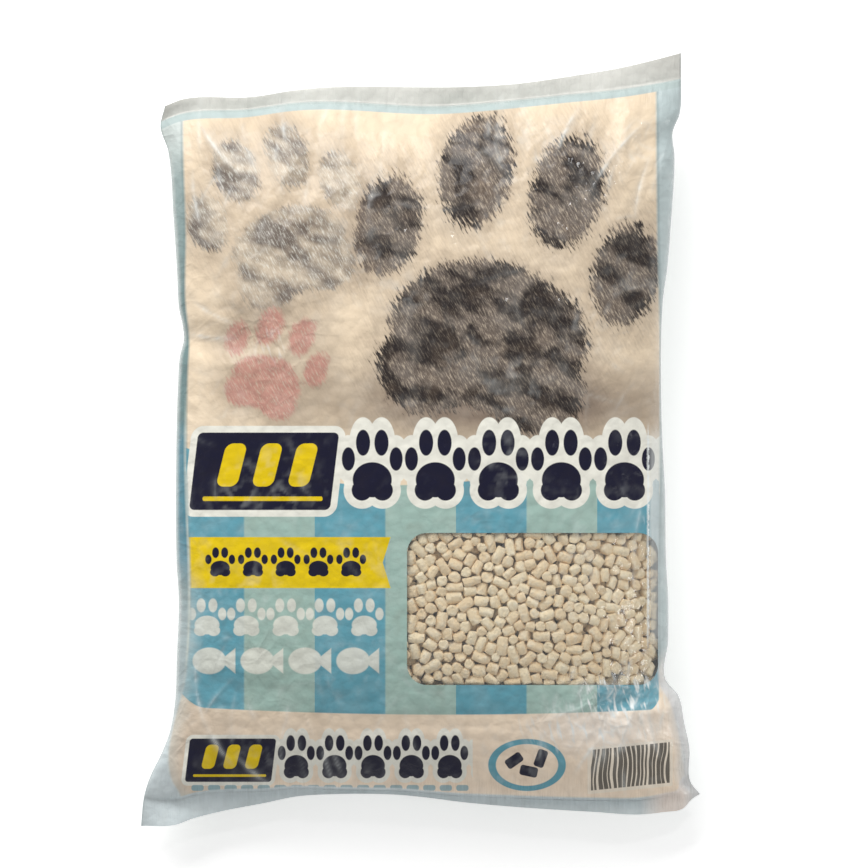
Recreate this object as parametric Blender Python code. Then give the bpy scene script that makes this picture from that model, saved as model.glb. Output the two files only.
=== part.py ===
"""Cat litter bag lying on its back: a sealed pillow of printed film with a clear window.

Sizes are millimetres. X runs across the bag, Y along it towards the top seal, and Z up
from the flat patch on its back that it rests on. Edge stations run from 0 to 1.
"""
import math
import random

import bmesh
import bpy
from mathutils import Matrix, Vector
from mathutils.geometry import delaunay_2d_cdt

MM = 0.001

# Filled body
BODY_WIDTH = 285.0
BODY_LENGTH = 410.0
SIDE_HEIGHT = 38.0
CROWN_RISE = 47.0
BACK_DROP = 58.0
ACROSS_ROUNDING = 2.8
ALONG_ROUNDING = 3.0

# Height of the seals above the ground at the four ears
EAR_HEIGHT_BOTTOM_LEFT = 21.0
EAR_HEIGHT_BOTTOM_RIGHT = 25.0
EAR_HEIGHT_TOP_LEFT = 30.0
EAR_HEIGHT_TOP_RIGHT = 37.0

# Heat seals
SEAL_THICKNESS = 1.2
SEAL_RIM = 0.9
TOP_SEAL_DEPTH = [(0.0, 9.0), (0.2, 7.0), (0.5, 11.0), (0.7, 9.5), (1.0, 15.0)]
BOTTOM_SEAL_DEPTH = [(0.0, 16.0), (0.1, 13.5), (0.22, 7.0), (0.35, 2.6), (0.5, 2.6),
                     (0.65, 5.0), (0.82, 7.0), (1.0, 11.0)]

# How far each edge stands out from the straight body, bottom to top or left to right
LEFT_EDGE = [(0.0, 19.9), (0.043, 17.9), (0.071, 14.1), (0.099, 8.3), (0.131, 3.1),
             (0.17, 0.2), (0.24, -1.0), (0.31, -2.1), (0.37, -0.7), (0.55, -0.7),
             (0.615, -1.6), (0.653, -2.7), (0.675, -5.0), (0.692, -4.5), (0.72, -2.1),
             (0.77, -1.0), (0.847, 1.1), (0.938, 4.2), (0.971, 8.6), (1.0, 6.0)]
RIGHT_EDGE = [(0.0, 19.3), (0.016, 13.9), (0.061, 13.2), (0.098, 10.0), (0.134, 6.5),
              (0.154, -0.6), (0.206, 0.8), (0.264, 0.8), (0.316, -0.4), (0.41, -1.0),
              (0.486, -2.7), (0.606, -3.3), (0.669, -2.1), (0.707, 0.2), (0.772, 2.5),
              (0.862, 4.5), (0.892, 3.4), (0.919, 7.7), (0.966, 8.3), (1.0, 8.3)]
BOTTOM_EDGE = [(0.0, 18.6), (0.061, 18.0), (0.09, 14.5), (0.145, 9.9), (0.218, 5.3),
               (0.274, 1.5), (0.327, 0.3), (0.445, 0.3), (0.5, 1.8), (0.58, 5.0),
               (0.696, 8.2), (0.812, 10.5), (0.889, 12.0), (0.936, 10.5), (0.971, 8.2),
               (0.984, 3.5), (1.0, 0.0)]
TOP_EDGE = [(0.0, -11.0), (0.037, -6.9), (0.165, -5.8), (0.256, -1.7), (0.326, 0.0),
            (0.566, 0.0), (0.678, 1.8), (0.789, 6.4), (0.882, 11.1), (0.956, 16.3),
            (1.0, 19.8)]

# Tucks that the seals gather into the film: how many, and the ranges they are drawn from
TUCKS_PER_SEAL = 11
TUCK_DEPTH = (0.8, 2.6)
TUCK_HALF_WIDTH = (8.0, 15.0)
TUCK_REACH = (16.0, 48.0)
TUCK_START = 7.0
TUCK_SEED = 12

# Single folds in the front: from, to, half width, and rise (a valley is negative)
FOLDS = [((-141.0, 58.0), (-86.0, 55.0), 13.0, -3.6),
         ((-114.0, 77.0), (-88.0, 54.0), 9.0, -1.4),
         ((148.0, -144.0), (98.0, -155.0), 11.0, -3.6),
         ((150.0, -156.0), (116.0, -160.0), 8.0, 1.6),
         ((147.0, 178.0), (118.0, 166.0), 11.0, -3.0),
         ((-150.0, 172.0), (-126.0, 184.0), 10.0, -2.6),
         ((-156.0, -203.0), (-126.0, -170.0), 11.0, -2.6),
         ((-140.0, -214.0), (-143.0, -182.0), 8.0, 1.8),
         ((131.0, -42.0), (133.0, 20.0), 7.0, 1.0),
         ((128.0, -196.0), (104.0, -160.0), 10.0, -1.8),
         ((-36.0, -166.0), (70.0, -160.0), 9.0, -0.9),
         ((-124.0, -140.0), (-70.0, -148.0), 10.0, -1.2),
         ((60.0, 172.0), (100.0, 120.0), 12.0, -1.2),
         ((-60.0, 160.0), (-92.0, 118.0), 12.0, -1.1)]
FOLD_FADE = 0.3

# Clear window: its left side and middle, its size over the film, and its corners
WINDOW_LEFT = -8.1
WINDOW_MIDDLE = -97.7
WINDOW_WIDTH = 155.5
WINDOW_HEIGHT = 88.2
WINDOW_CORNER = 12.0
WINDOW_FILM = 1.0
WINDOW_COLUMNS = 22
WINDOW_CORNER_ROWS = 4
WINDOW_MID_ROWS = 8

# Litter behind the window
PELLET_PITCH = 7.5
PELLET_GAP = 0.9
PELLET_RISE = (3.2, 4.6)
PELLET_TOP_SHARE = 0.74
PELLET_BED = 3.0
PELLET_LEAST_AREA = 12.0
PELLET_SHORT_SIDE = 1.7
PELLET_SEED = 5

# Clearance round the window film and round the litter bed
CLEARANCE = 0.55
BED_CLEARANCE = 0.8

# Mesh steps of the body
HALF_COLUMNS = 21
HALF_ROWS = 25

HALF_WIDTH = BODY_WIDTH / 2.0
HALF_LENGTH = BODY_LENGTH / 2.0


def smooth_through(points, t):
    """Value at t of a smooth curve through the (station, value) points."""
    if t <= points[0][0]:
        return points[0][1]
    if t >= points[-1][0]:
        return points[-1][1]
    k = 0
    while t > points[k + 1][0]:
        k += 1
    t0, v0 = points[k]
    t1, v1 = points[k + 1]
    step = t1 - t0
    chord = (v1 - v0) / step
    before = chord
    after = chord
    if k > 0:
        before = 0.5 * (chord + (v0 - points[k - 1][1]) / (t0 - points[k - 1][0]))
    if k + 2 < len(points):
        after = 0.5 * (chord + (points[k + 2][1] - v1) / (points[k + 2][0] - t1))
    f = (t - t0) / step
    f2 = f * f
    f3 = f2 * f
    return ((2 * f3 - 3 * f2 + 1) * v0 + (f3 - 2 * f2 + f) * step * before
            + (3 * f2 - 2 * f3) * v1 + (f3 - f2) * step * after)


def bottom_edge_y(q):
    return -HALF_LENGTH - smooth_through(BOTTOM_EDGE, q)


def top_edge_y(q):
    return HALF_LENGTH + smooth_through(TOP_EDGE, q)


def bottom_fold_y(q):
    return bottom_edge_y(q) + smooth_through(BOTTOM_SEAL_DEPTH, q)


def top_fold_y(q):
    return top_edge_y(q) - smooth_through(TOP_SEAL_DEPTH, q)


def side_station(q, y):
    low = bottom_edge_y(q)
    return (y - low) / (top_edge_y(q) - low)


def left_x(y):
    return -HALF_WIDTH - smooth_through(LEFT_EDGE, side_station(0.0, y))


def right_x(y):
    return HALF_WIDTH + smooth_through(RIGHT_EDGE, side_station(1.0, y))


def rim_height(q, v):
    """Height of the line where the front film meets the back film."""
    low = EAR_HEIGHT_BOTTOM_LEFT + q * (EAR_HEIGHT_BOTTOM_RIGHT - EAR_HEIGHT_BOTTOM_LEFT)
    high = EAR_HEIGHT_TOP_LEFT + q * (EAR_HEIGHT_TOP_RIGHT - EAR_HEIGHT_TOP_LEFT)
    ends = low + v * (high - low)
    middle = 1.0 - abs(2.0 * v - 1.0) ** 4
    return ends + (SIDE_HEIGHT - ends) * middle


def swell(q, v):
    """Share of the full rise: nothing at the seals and sides, 1 in the middle."""
    across = max(0.0, 1.0 - abs(2.0 * q - 1.0) ** ACROSS_ROUNDING)
    along = max(0.0, 1.0 - abs(2.0 * v - 1.0) ** ALONG_ROUNDING)
    return math.sqrt(across * along)


def draw_tucks(seed):
    """Seeded tucks: which seal, place across, depth, half width and reach."""
    rng = random.Random(seed)
    tucks = []
    for at_top in (False, True):
        for k in range(TUCKS_PER_SEAL):
            place = (k + 0.5 + rng.uniform(-0.3, 0.3)) / TUCKS_PER_SEAL
            tucks.append((at_top, place, rng.uniform(*TUCK_DEPTH),
                          rng.uniform(*TUCK_HALF_WIDTH) / BODY_WIDTH,
                          rng.uniform(*TUCK_REACH)))
    return tucks


FRONT_TUCKS = draw_tucks(TUCK_SEED)
BACK_TUCKS = draw_tucks(TUCK_SEED + 1)


def tuck_depth(tucks, q, y):
    total = 0.0
    from_bottom = y - bottom_fold_y(q)
    from_top = top_fold_y(q) - y
    for at_top, place, depth, half, reach in tucks:
        run = from_top if at_top else from_bottom
        off = abs(q - place) / half
        if off < 1.0 and run > 0.0:
            start = min(1.0, run / TUCK_START)
            total += depth * (1.0 - off * off) ** 2 * start * math.exp(-run / reach)
    return total


def fold_rise(x, y):
    total = 0.0
    for (x0, y0), (x1, y1), half, rise in FOLDS:
        dx = x1 - x0
        dy = y1 - y0
        run = dx * dx + dy * dy
        f = ((x - x0) * dx + (y - y0) * dy) / run
        near = min(1.0, max(0.0, f))
        off = math.hypot(x - x0 - near * dx, y - y0 - near * dy) / half
        if off < 1.0:
            fade = min(1.0, (1.0 - near) / FOLD_FADE)
            total += rise * (1.0 - off * off) ** 2 * fade
    return total


def place_across(x, y):
    low = left_x(y)
    return (x - low) / (right_x(y) - low)


def place_along(q, y):
    low = bottom_fold_y(q)
    return min(1.0, max(0.0, (y - low) / (top_fold_y(q) - low)))


def plain_height(q, y):
    """Height of the front film's middle without its folds and tucks."""
    v = place_along(q, y)
    return rim_height(q, v) + CROWN_RISE * swell(q, v)


def front_height(q, y):
    x = left_x(y) + q * (right_x(y) - left_x(y))
    held = min(1.0, 3.0 * swell(q, place_along(q, y)))
    return plain_height(q, y) + held * (fold_rise(x, y) - tuck_depth(FRONT_TUCKS, q, y))


def back_height(q, y):
    v = place_along(q, y)
    full = swell(q, v)
    held = min(1.0, 3.0 * full)
    return rim_height(q, v) - BACK_DROP * full + held * tuck_depth(BACK_TUCKS, q, y)


def front_point(x, y):
    return Vector((x, y, front_height(place_across(x, y), y)))


def plain_point(x, y):
    return Vector((x, y, plain_height(place_across(x, y), y)))


def plain_normal(x, y):
    """Outward direction of the front without its folds, so that offsets stay parallel."""
    reach = 1.5
    across = plain_point(x + reach, y) - plain_point(x - reach, y)
    along = plain_point(x, y + reach) - plain_point(x, y - reach)
    return across.cross(along).normalized()


def eased_steps(half_count):
    """Steps from -1 to 1 that are finer towards both ends."""
    steps = []
    for k in range(-half_count, half_count + 1):
        f = k / half_count
        steps.append(0.5 * f + 0.5 * math.sin(f * math.pi / 2.0))
    return steps


def new_object(name, bm, colour, roughness):
    """Close the mesh off as a named object with its own material."""
    bmesh.ops.recalc_face_normals(bm, faces=bm.faces)
    bmesh.ops.scale(bm, vec=(MM, MM, MM), verts=bm.verts)
    mesh = bpy.data.meshes.new(name)
    bm.to_mesh(mesh)
    bm.free()
    for polygon in mesh.polygons:
        polygon.use_smooth = True
    mesh.set_sharp_from_angle(angle=math.radians(38.0))
    thing = bpy.data.objects.new(name, mesh)
    bpy.context.collection.objects.link(thing)
    material = bpy.data.materials.new(name)
    material.use_nodes = True
    shader = material.node_tree.nodes["Principled BSDF"]
    shader.inputs["Base Color"].default_value = colour
    shader.inputs["Roughness"].default_value = roughness
    mesh.materials.append(material)
    return thing


def body_rows(q):
    """The y of every row of the body mesh in the column at q."""
    low_edge = bottom_edge_y(q)
    low_fold = bottom_fold_y(q)
    high_fold = top_fold_y(q)
    high_edge = top_edge_y(q)
    middle = 0.5 * (low_fold + high_fold)
    half = 0.5 * (high_fold - low_fold)
    rows = [low_edge, low_edge + SEAL_RIM]
    rows.extend(middle + half * step for step in eased_steps(HALF_ROWS))
    rows.extend((high_edge - SEAL_RIM, high_edge))
    return rows


def build_bag():
    """The closed pillow: front and back sheets that share their outer rim."""
    bm = bmesh.new()
    across = [0.5 + 0.5 * step for step in eased_steps(HALF_COLUMNS)]
    last = len(across) - 1
    front = []
    back = []
    for i, q in enumerate(across):
        rows = body_rows(q)
        front_column = []
        back_column = []
        for j, y in enumerate(rows):
            x = left_x(y) + q * (right_x(y) - left_x(y))
            on_rim = i in (0, last) or j in (0, len(rows) - 1)
            if on_rim:
                vert = bm.verts.new((x, y, rim_height(q, place_along(q, y))))
                front_column.append(vert)
                back_column.append(vert)
                continue
            high = front_height(q, y) + SEAL_THICKNESS / 2.0
            low = max(0.0, back_height(q, y) - SEAL_THICKNESS / 2.0)
            front_column.append(bm.verts.new((x, y, high)))
            back_column.append(bm.verts.new((x, y, low)))
        front.append(front_column)
        back.append(back_column)
    resting = []
    for i in range(last):
        for j in range(len(front[0]) - 1):
            bm.faces.new((front[i][j], front[i + 1][j],
                          front[i + 1][j + 1], front[i][j + 1]))
            face = bm.faces.new((back[i][j], back[i][j + 1],
                                 back[i + 1][j + 1], back[i + 1][j]))
            if all(vert.co.z == 0.0 for vert in face.verts):
                resting.append(face)
    bmesh.ops.dissolve_faces(bm, faces=resting, use_verts=True)
    bmesh.ops.triangulate(bm, faces=bm.faces[:])
    return new_object("film_bag", bm, (0.62, 0.76, 0.78, 1.0), 0.35)


class WindowMap:
    """Lays a flat (a, b) sheet over the front film, with a measured over the film."""

    def __init__(self):
        self.table = [(0.0, WINDOW_LEFT)]
        step = 0.25
        x = WINDOW_LEFT
        run = 0.0
        here = front_point(x, WINDOW_MIDDLE)
        limit = right_x(WINDOW_MIDDLE) - 1.0
        while run < WINDOW_WIDTH + 6.0 and x < limit:
            x += step
            after = front_point(x, WINDOW_MIDDLE)
            run += (after - here).length
            here = after
            self.table.append((run, x))

    def plan_x(self, a):
        """Plan place of a point that lies a millimetres from the window's left side."""
        if a <= 0.0:
            return WINDOW_LEFT + a
        low = 0
        high = len(self.table) - 1
        while high - low > 1:
            mid = (low + high) // 2
            if self.table[mid][0] > a:
                high = mid
            else:
                low = mid
        a0, x0 = self.table[low]
        a1, x1 = self.table[high]
        return x0 + (x1 - x0) * (a - a0) / (a1 - a0)

    def point(self, a, b, out):
        x = self.plan_x(a + WINDOW_WIDTH / 2.0)
        y = WINDOW_MIDDLE + b
        lift = out + SEAL_THICKNESS / 2.0
        return front_point(x, y) + plain_normal(x, y) * lift


def window_rows(inset):
    """Rows of a rounded rectangle: (b, half width), drawn in by the inset."""
    radius = WINDOW_CORNER - inset
    flat_b = WINDOW_HEIGHT / 2.0 - WINDOW_CORNER
    flat_a = WINDOW_WIDTH / 2.0 - WINDOW_CORNER
    rows = []
    for k in range(WINDOW_CORNER_ROWS + 1):
        turn = 0.5 * math.pi * (1.0 - k / WINDOW_CORNER_ROWS)
        rows.append((-flat_b - radius * math.sin(turn), flat_a + radius * math.cos(turn)))
    for k in range(1, WINDOW_MID_ROWS):
        rows.append((flat_b * (2.0 * k / WINDOW_MID_ROWS - 1.0), flat_a + radius))
    for k in range(WINDOW_CORNER_ROWS + 1):
        turn = 0.5 * math.pi * k / WINDOW_CORNER_ROWS
        rows.append((flat_b + radius * math.sin(turn), flat_a + radius * math.cos(turn)))
    return rows


def window_lattice(inset):
    """Flat (a, b) lattice of the rounded rectangle, a list of rows."""
    lattice = []
    for b, half in window_rows(inset):
        lattice.append([(half * (2.0 * k / WINDOW_COLUMNS - 1.0), b)
                        for k in range(WINDOW_COLUMNS + 1)])
    return lattice


def lattice_rim(lattice):
    """Keys (row, column) round the lattice, counter-clockwise."""
    last_row = len(lattice) - 1
    last_column = len(lattice[0]) - 1
    keys = [(0, k) for k in range(last_column + 1)]
    keys.extend((j, last_column) for j in range(1, last_row + 1))
    keys.extend((last_row, k) for k in range(last_column - 1, -1, -1))
    keys.extend((j, 0) for j in range(last_row - 1, 0, -1))
    return keys


def add_sheet(bm, window, lattice, out):
    """One lattice sheet at the given height over the film; returns its verts by key."""
    verts = {}
    for j, row in enumerate(lattice):
        for k, (a, b) in enumerate(row):
            verts[(j, k)] = bm.verts.new(window.point(a, b, out))
    for j in range(len(lattice) - 1):
        for k in range(len(lattice[0]) - 1):
            bm.faces.new((verts[(j, k)], verts[(j, k + 1)],
                          verts[(j + 1, k + 1)], verts[(j + 1, k)]))
    return verts


def close_rim(bm, first, second):
    count = len(first)
    for k in range(count):
        after = (k + 1) % count
        bm.faces.new((first[k], first[after], second[after], second[k]))


def window_slab(window, inset, low, high):
    """A closed slab of the window's outline between two heights over the film."""
    bm = bmesh.new()
    lattice = window_lattice(inset)
    keys = lattice_rim(lattice)
    under = add_sheet(bm, window, lattice, low)
    over = add_sheet(bm, window, lattice, high)
    close_rim(bm, [under[key] for key in keys], [over[key] for key in keys])
    bmesh.ops.triangulate(bm, faces=bm.faces[:], quad_method="FIXED")
    return bm


def clip_polygon(polygon, point, normal):
    """The part of a convex polygon on the side of the line that the normal points from."""
    kept = []
    for k, here in enumerate(polygon):
        after = polygon[(k + 1) % len(polygon)]
        d0 = (here - point).dot(normal)
        d1 = (after - point).dot(normal)
        if d0 <= 0.0:
            kept.append(here)
        if d0 * d1 < 0.0:
            kept.append(here.lerp(after, d0 / (d0 - d1)))
    return kept


def drop_short_sides(polygon):
    kept = []
    for point in polygon:
        if not kept or (point - kept[-1]).length > PELLET_SHORT_SIDE:
            kept.append(point)
    if len(kept) > 1 and (kept[0] - kept[-1]).length <= PELLET_SHORT_SIDE:
        kept.pop()
    return kept


def polygon_area(polygon):
    total = 0.0
    for k, here in enumerate(polygon):
        after = polygon[(k + 1) % len(polygon)]
        total += here.x * after.y - after.x * here.y
    return 0.5 * total


def pellet_feet(outline):
    """Packed feet of the pellets: disjoint convex polygons inside the outline."""
    rng = random.Random(PELLET_SEED)
    half_a = WINDOW_WIDTH / 2.0
    half_b = WINDOW_HEIGHT / 2.0
    row_step = PELLET_PITCH * math.sqrt(3.0) / 2.0
    seeds = []
    jitter = 0.3 * PELLET_PITCH
    b = -half_b
    odd = False
    while b <= half_b:
        a = -half_a + (PELLET_PITCH / 2.0 if odd else 0.0)
        while a <= half_a:
            seeds.append(Vector((a + rng.uniform(-jitter, jitter),
                                 b + rng.uniform(-jitter, jitter))))
            a += PELLET_PITCH
        b += row_step
        odd = not odd
    feet = []
    for k, seed in enumerate(seeds):
        cell = outline
        for other in seeds:
            apart = other - seed
            if other is seed or apart.length > 3.0 * PELLET_PITCH:
                continue
            way = apart.normalized()
            cell = clip_polygon(cell, seed + apart / 2.0 - way * PELLET_GAP / 2.0, way)
            if len(cell) < 3:
                break
        if len(cell) < 3:
            continue
        cell = drop_short_sides(cell)
        if len(cell) > 3 and polygon_area(cell) > PELLET_LEAST_AREA:
            feet.append(cell)
    return feet


def build_pellets(window):
    """A bed that fits the pocket, with every pellet that shows fused to it."""
    bm = bmesh.new()
    top = -WINDOW_FILM - CLEARANCE
    ground = top - PELLET_RISE[1]
    lattice = window_lattice(BED_CLEARANCE)
    keys = lattice_rim(lattice)
    under = add_sheet(bm, window, lattice, ground - PELLET_BED)
    rim_points = [Vector(lattice[j][k]) for j, k in keys]
    inner = window_lattice(BED_CLEARANCE + CLEARANCE)
    outline = [Vector(inner[j][k]) for j, k in keys]
    feet = pellet_feet(outline)
    points = list(rim_points)
    polygons = [list(range(len(rim_points)))]
    for foot in feet:
        start = len(points)
        points.extend(foot)
        polygons.append(list(range(start, len(points))))
    flat = delaunay_2d_cdt(points, [], polygons, 1, 1e-5)
    flat_points, _, triangles, came_points, _, came_faces = flat
    floor = [bm.verts.new(window.point(p.x, p.y, ground)) for p in flat_points]
    of_input = {}
    for k, sources in enumerate(came_points):
        for source in sources:
            of_input[source] = floor[k]
    for triangle, sources in zip(triangles, came_faces):
        if list(sources) == [0]:
            bm.faces.new([floor[k] for k in triangle])
    close_rim(bm, [under[key] for key in keys],
              [of_input[k] for k in range(len(rim_points))])
    rng = random.Random(PELLET_SEED + 1)
    for number, foot in enumerate(feet):
        base = [of_input[k] for k in polygons[number + 1]]
        centre = sum(foot, Vector((0.0, 0.0))) / len(foot)
        level = ground + rng.uniform(*PELLET_RISE)
        crown = []
        for corner in foot:
            spot = centre + (corner - centre) * PELLET_TOP_SHARE
            crown.append(bm.verts.new(window.point(spot.x, spot.y, level)))
        close_rim(bm, base, crown)
        bm.faces.new(crown)
    bmesh.ops.triangulate(bm, faces=bm.faces[:], quad_method="FIXED")
    return new_object("litter_pellets", bm, (0.80, 0.68, 0.50, 1.0), 0.9)


def cut_pocket(bag, window):
    """Sink the pocket that the litter and the window lie in."""
    depth = WINDOW_FILM + CLEARANCE + PELLET_RISE[1] + PELLET_BED + BED_CLEARANCE
    above = 4.0
    cutter = new_object("pocket_cutter", window_slab(window, 0.0, -depth, above),
                        (0.5, 0.5, 0.5, 1.0), 0.5)
    cutter.hide_render = True
    cutter.display_type = "WIRE"
    cut = bag.modifiers.new("pocket", "BOOLEAN")
    cut.operation = "DIFFERENCE"
    cut.solver = "EXACT"
    cut.object = cutter


for thing in list(bpy.data.objects):
    bpy.data.objects.remove(thing, do_unlink=True)

laid = WindowMap()
bag = build_bag()
cut_pocket(bag, laid)
build_pellets(laid)
new_object("window_film", window_slab(laid, CLEARANCE, -WINDOW_FILM, 0.0),
           (0.9, 0.93, 0.93, 1.0), 0.08)

# The origin goes to the middle of the footprint
spots = [vert.co for vert in bag.data.vertices]
middle_x = 0.5 * (min(p.x for p in spots) + max(p.x for p in spots))
middle_y = 0.5 * (min(p.y for p in spots) + max(p.y for p in spots))
for thing in bpy.data.objects:
    thing.data.transform(Matrix.Translation((-middle_x, -middle_y, 0.0)))
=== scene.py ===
"""Looks of the cat litter bag: printed film, clear window, litter, and the studio.

Shapes are worked out in millimetres, with x = y = 0 at the middle of the straight body
as in the part's source, and are moved to the frame's origin when a mesh is made.
"""
import math
import random

import bpy
import numpy as np
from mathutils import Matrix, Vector


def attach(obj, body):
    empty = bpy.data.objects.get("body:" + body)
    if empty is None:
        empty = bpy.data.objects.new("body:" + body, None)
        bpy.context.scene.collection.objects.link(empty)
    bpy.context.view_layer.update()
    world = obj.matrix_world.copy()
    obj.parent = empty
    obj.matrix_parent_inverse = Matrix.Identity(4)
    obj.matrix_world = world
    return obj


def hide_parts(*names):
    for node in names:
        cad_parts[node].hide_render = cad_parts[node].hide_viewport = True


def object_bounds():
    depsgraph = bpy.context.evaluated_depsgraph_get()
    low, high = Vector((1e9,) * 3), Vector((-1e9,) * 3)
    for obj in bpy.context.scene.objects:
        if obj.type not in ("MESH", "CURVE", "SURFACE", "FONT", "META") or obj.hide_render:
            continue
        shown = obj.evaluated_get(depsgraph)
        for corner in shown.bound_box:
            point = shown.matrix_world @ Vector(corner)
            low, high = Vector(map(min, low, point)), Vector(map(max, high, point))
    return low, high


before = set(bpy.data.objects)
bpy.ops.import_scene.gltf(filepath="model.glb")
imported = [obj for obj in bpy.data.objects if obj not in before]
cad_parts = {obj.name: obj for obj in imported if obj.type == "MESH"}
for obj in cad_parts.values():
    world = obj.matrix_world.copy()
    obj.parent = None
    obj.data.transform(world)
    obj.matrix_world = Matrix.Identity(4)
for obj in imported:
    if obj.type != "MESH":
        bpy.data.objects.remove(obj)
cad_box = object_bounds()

MM = 0.001

# The photograph: real size of a pixel, picture side, and the pixel at x = y = 0
PHOTO_PIXEL = 0.58
PHOTO_SIDE = 868
PHOTO_MIDDLE = (421.0, 440.5)
CAMERA_HEIGHT = 1.6

# Body of the bag, as in the part's source
BODY_WIDTH = 285.0
BODY_LENGTH = 410.0
SIDE_HEIGHT = 38.0
CROWN_RISE = 47.0
BACK_DROP = 58.0
ACROSS_ROUNDING = 2.8
ALONG_ROUNDING = 3.0
EAR_HEIGHTS = {"bottom_left": 21.0, "bottom_right": 25.0, "top_left": 30.0,
               "top_right": 37.0}
FILM_HALF = 0.3
TOP_SEAL_DEPTH = [(0.0, 9.0), (0.2, 7.0), (0.5, 11.0), (0.7, 9.5), (1.0, 15.0)]
BOTTOM_SEAL_DEPTH = [(0.0, 16.0), (0.1, 13.5), (0.22, 7.0), (0.35, 2.6), (0.5, 2.6),
                     (0.65, 5.0), (0.82, 7.0), (1.0, 11.0)]
LEFT_EDGE = [(0.0, 19.9), (0.043, 17.9), (0.071, 14.1), (0.099, 8.3), (0.131, 3.1),
             (0.17, 0.2), (0.24, -1.0), (0.31, -2.1), (0.37, -0.7), (0.55, -0.7),
             (0.615, -1.6), (0.653, -2.7), (0.675, -5.0), (0.692, -4.5), (0.72, -2.1),
             (0.77, -1.0), (0.847, 1.1), (0.938, 4.2), (0.971, 8.6), (1.0, 6.0)]
RIGHT_EDGE = [(0.0, 19.3), (0.016, 13.9), (0.061, 13.2), (0.098, 10.0), (0.134, 6.5),
              (0.154, -0.6), (0.206, 0.8), (0.264, 0.8), (0.316, -0.4), (0.41, -1.0),
              (0.486, -2.7), (0.606, -3.3), (0.669, -2.1), (0.707, 0.2), (0.772, 2.5),
              (0.862, 4.5), (0.892, 3.4), (0.919, 7.7), (0.966, 8.3), (1.0, 8.3)]
BOTTOM_EDGE = [(0.0, 18.6), (0.061, 18.0), (0.09, 14.5), (0.145, 9.9), (0.218, 5.3),
               (0.274, 1.5), (0.327, 0.3), (0.445, 0.3), (0.5, 1.8), (0.58, 5.0),
               (0.696, 8.2), (0.812, 10.5), (0.889, 12.0), (0.936, 10.5), (0.971, 8.2),
               (0.984, 3.5), (1.0, 0.0)]
TOP_EDGE = [(0.0, -11.0), (0.037, -6.9), (0.165, -5.8), (0.256, -1.7), (0.326, 0.0),
            (0.566, 0.0), (0.678, 1.8), (0.789, 6.4), (0.882, 11.1), (0.956, 16.3),
            (1.0, 19.8)]
FOLDS = [((-141.0, 58.0), (-86.0, 55.0), 13.0, -3.6),
         ((-114.0, 77.0), (-88.0, 54.0), 9.0, -1.4),
         ((148.0, -144.0), (98.0, -155.0), 11.0, -3.6),
         ((150.0, -156.0), (116.0, -160.0), 8.0, 1.6),
         ((147.0, 178.0), (118.0, 166.0), 11.0, -3.0),
         ((-150.0, 172.0), (-126.0, 184.0), 10.0, -2.6),
         ((-156.0, -203.0), (-126.0, -170.0), 11.0, -2.6),
         ((-140.0, -214.0), (-143.0, -182.0), 8.0, 1.8),
         ((131.0, -42.0), (133.0, 20.0), 7.0, 1.0),
         ((128.0, -196.0), (104.0, -160.0), 10.0, -1.8),
         ((-36.0, -166.0), (70.0, -160.0), 9.0, -0.9),
         ((-124.0, -140.0), (-70.0, -148.0), 10.0, -1.2),
         ((60.0, 172.0), (100.0, 120.0), 12.0, -1.2),
         ((-60.0, 160.0), (-92.0, 118.0), 12.0, -1.1)]
FOLD_FADE = 0.3
TUCK_START = 7.0

# Seeded tucks at the seals: count, depth, half width and reach
MAIN_TUCK_RANGES = (11, (0.8, 2.6), (8.0, 15.0), (16.0, 48.0))
FINE_TUCK_RANGES = (34, (0.15, 0.95), (2.4, 5.5), (7.0, 30.0))
MAIN_SEED = 12
BACK_SEED = 13
FINE_SEED = 31

# Seeded creases: how many, then ranges of half length, width and rise
SEAL_CREASES = (64, (6.0, 24.0), (0.8, 2.0), (0.15, 0.6))
SIDE_CREASES = (44, (6.0, 20.0), (0.8, 1.8), (0.1, 0.4))
BODY_CREASES = (50, (8.0, 30.0), (0.8, 1.8), (0.06, 0.22))
LOW_CREASES = (36, (7.0, 18.0), (0.7, 1.3), (0.3, 0.95))
TOP_CREASES = (16, (5.0, 14.0), (0.7, 1.4), (0.2, 0.6))
CREASE_SEED = 77
CREASES_AT_TOP = 0.42
CREASE_BEND = 0.12

# Width of the whitened line along a crease, part whitening of the film and part painted
# highlight
CREASE_WHITE = 1.0

# Marks of the pellets in the film: pitch, wander, how far off centre, and depth
LUMP_PITCH = 7.6
LUMP_WANDER = 2.0
LUMP_SPREAD = 0.7
LUMP_DEPTH = 1.1

# Long pleats: both ends, half width and rise
PLEATS = [(130.5, -122.0, 133.5, 4.0, 3.2, 1.7), (124.0, -150.0, 127.0, -88.0, 2.4, 0.9),
          (-137.0, 52.0, -138.5, 184.0, 2.2, -0.7), (-136.0, -130.0, -135.0, 40.0, 2.4, -0.6),
          (137.5, -110.0, 138.0, 150.0, 2.2, -0.7), (119.0, -100.0, 120.5, -52.0, 1.6, 0.5)]

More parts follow.
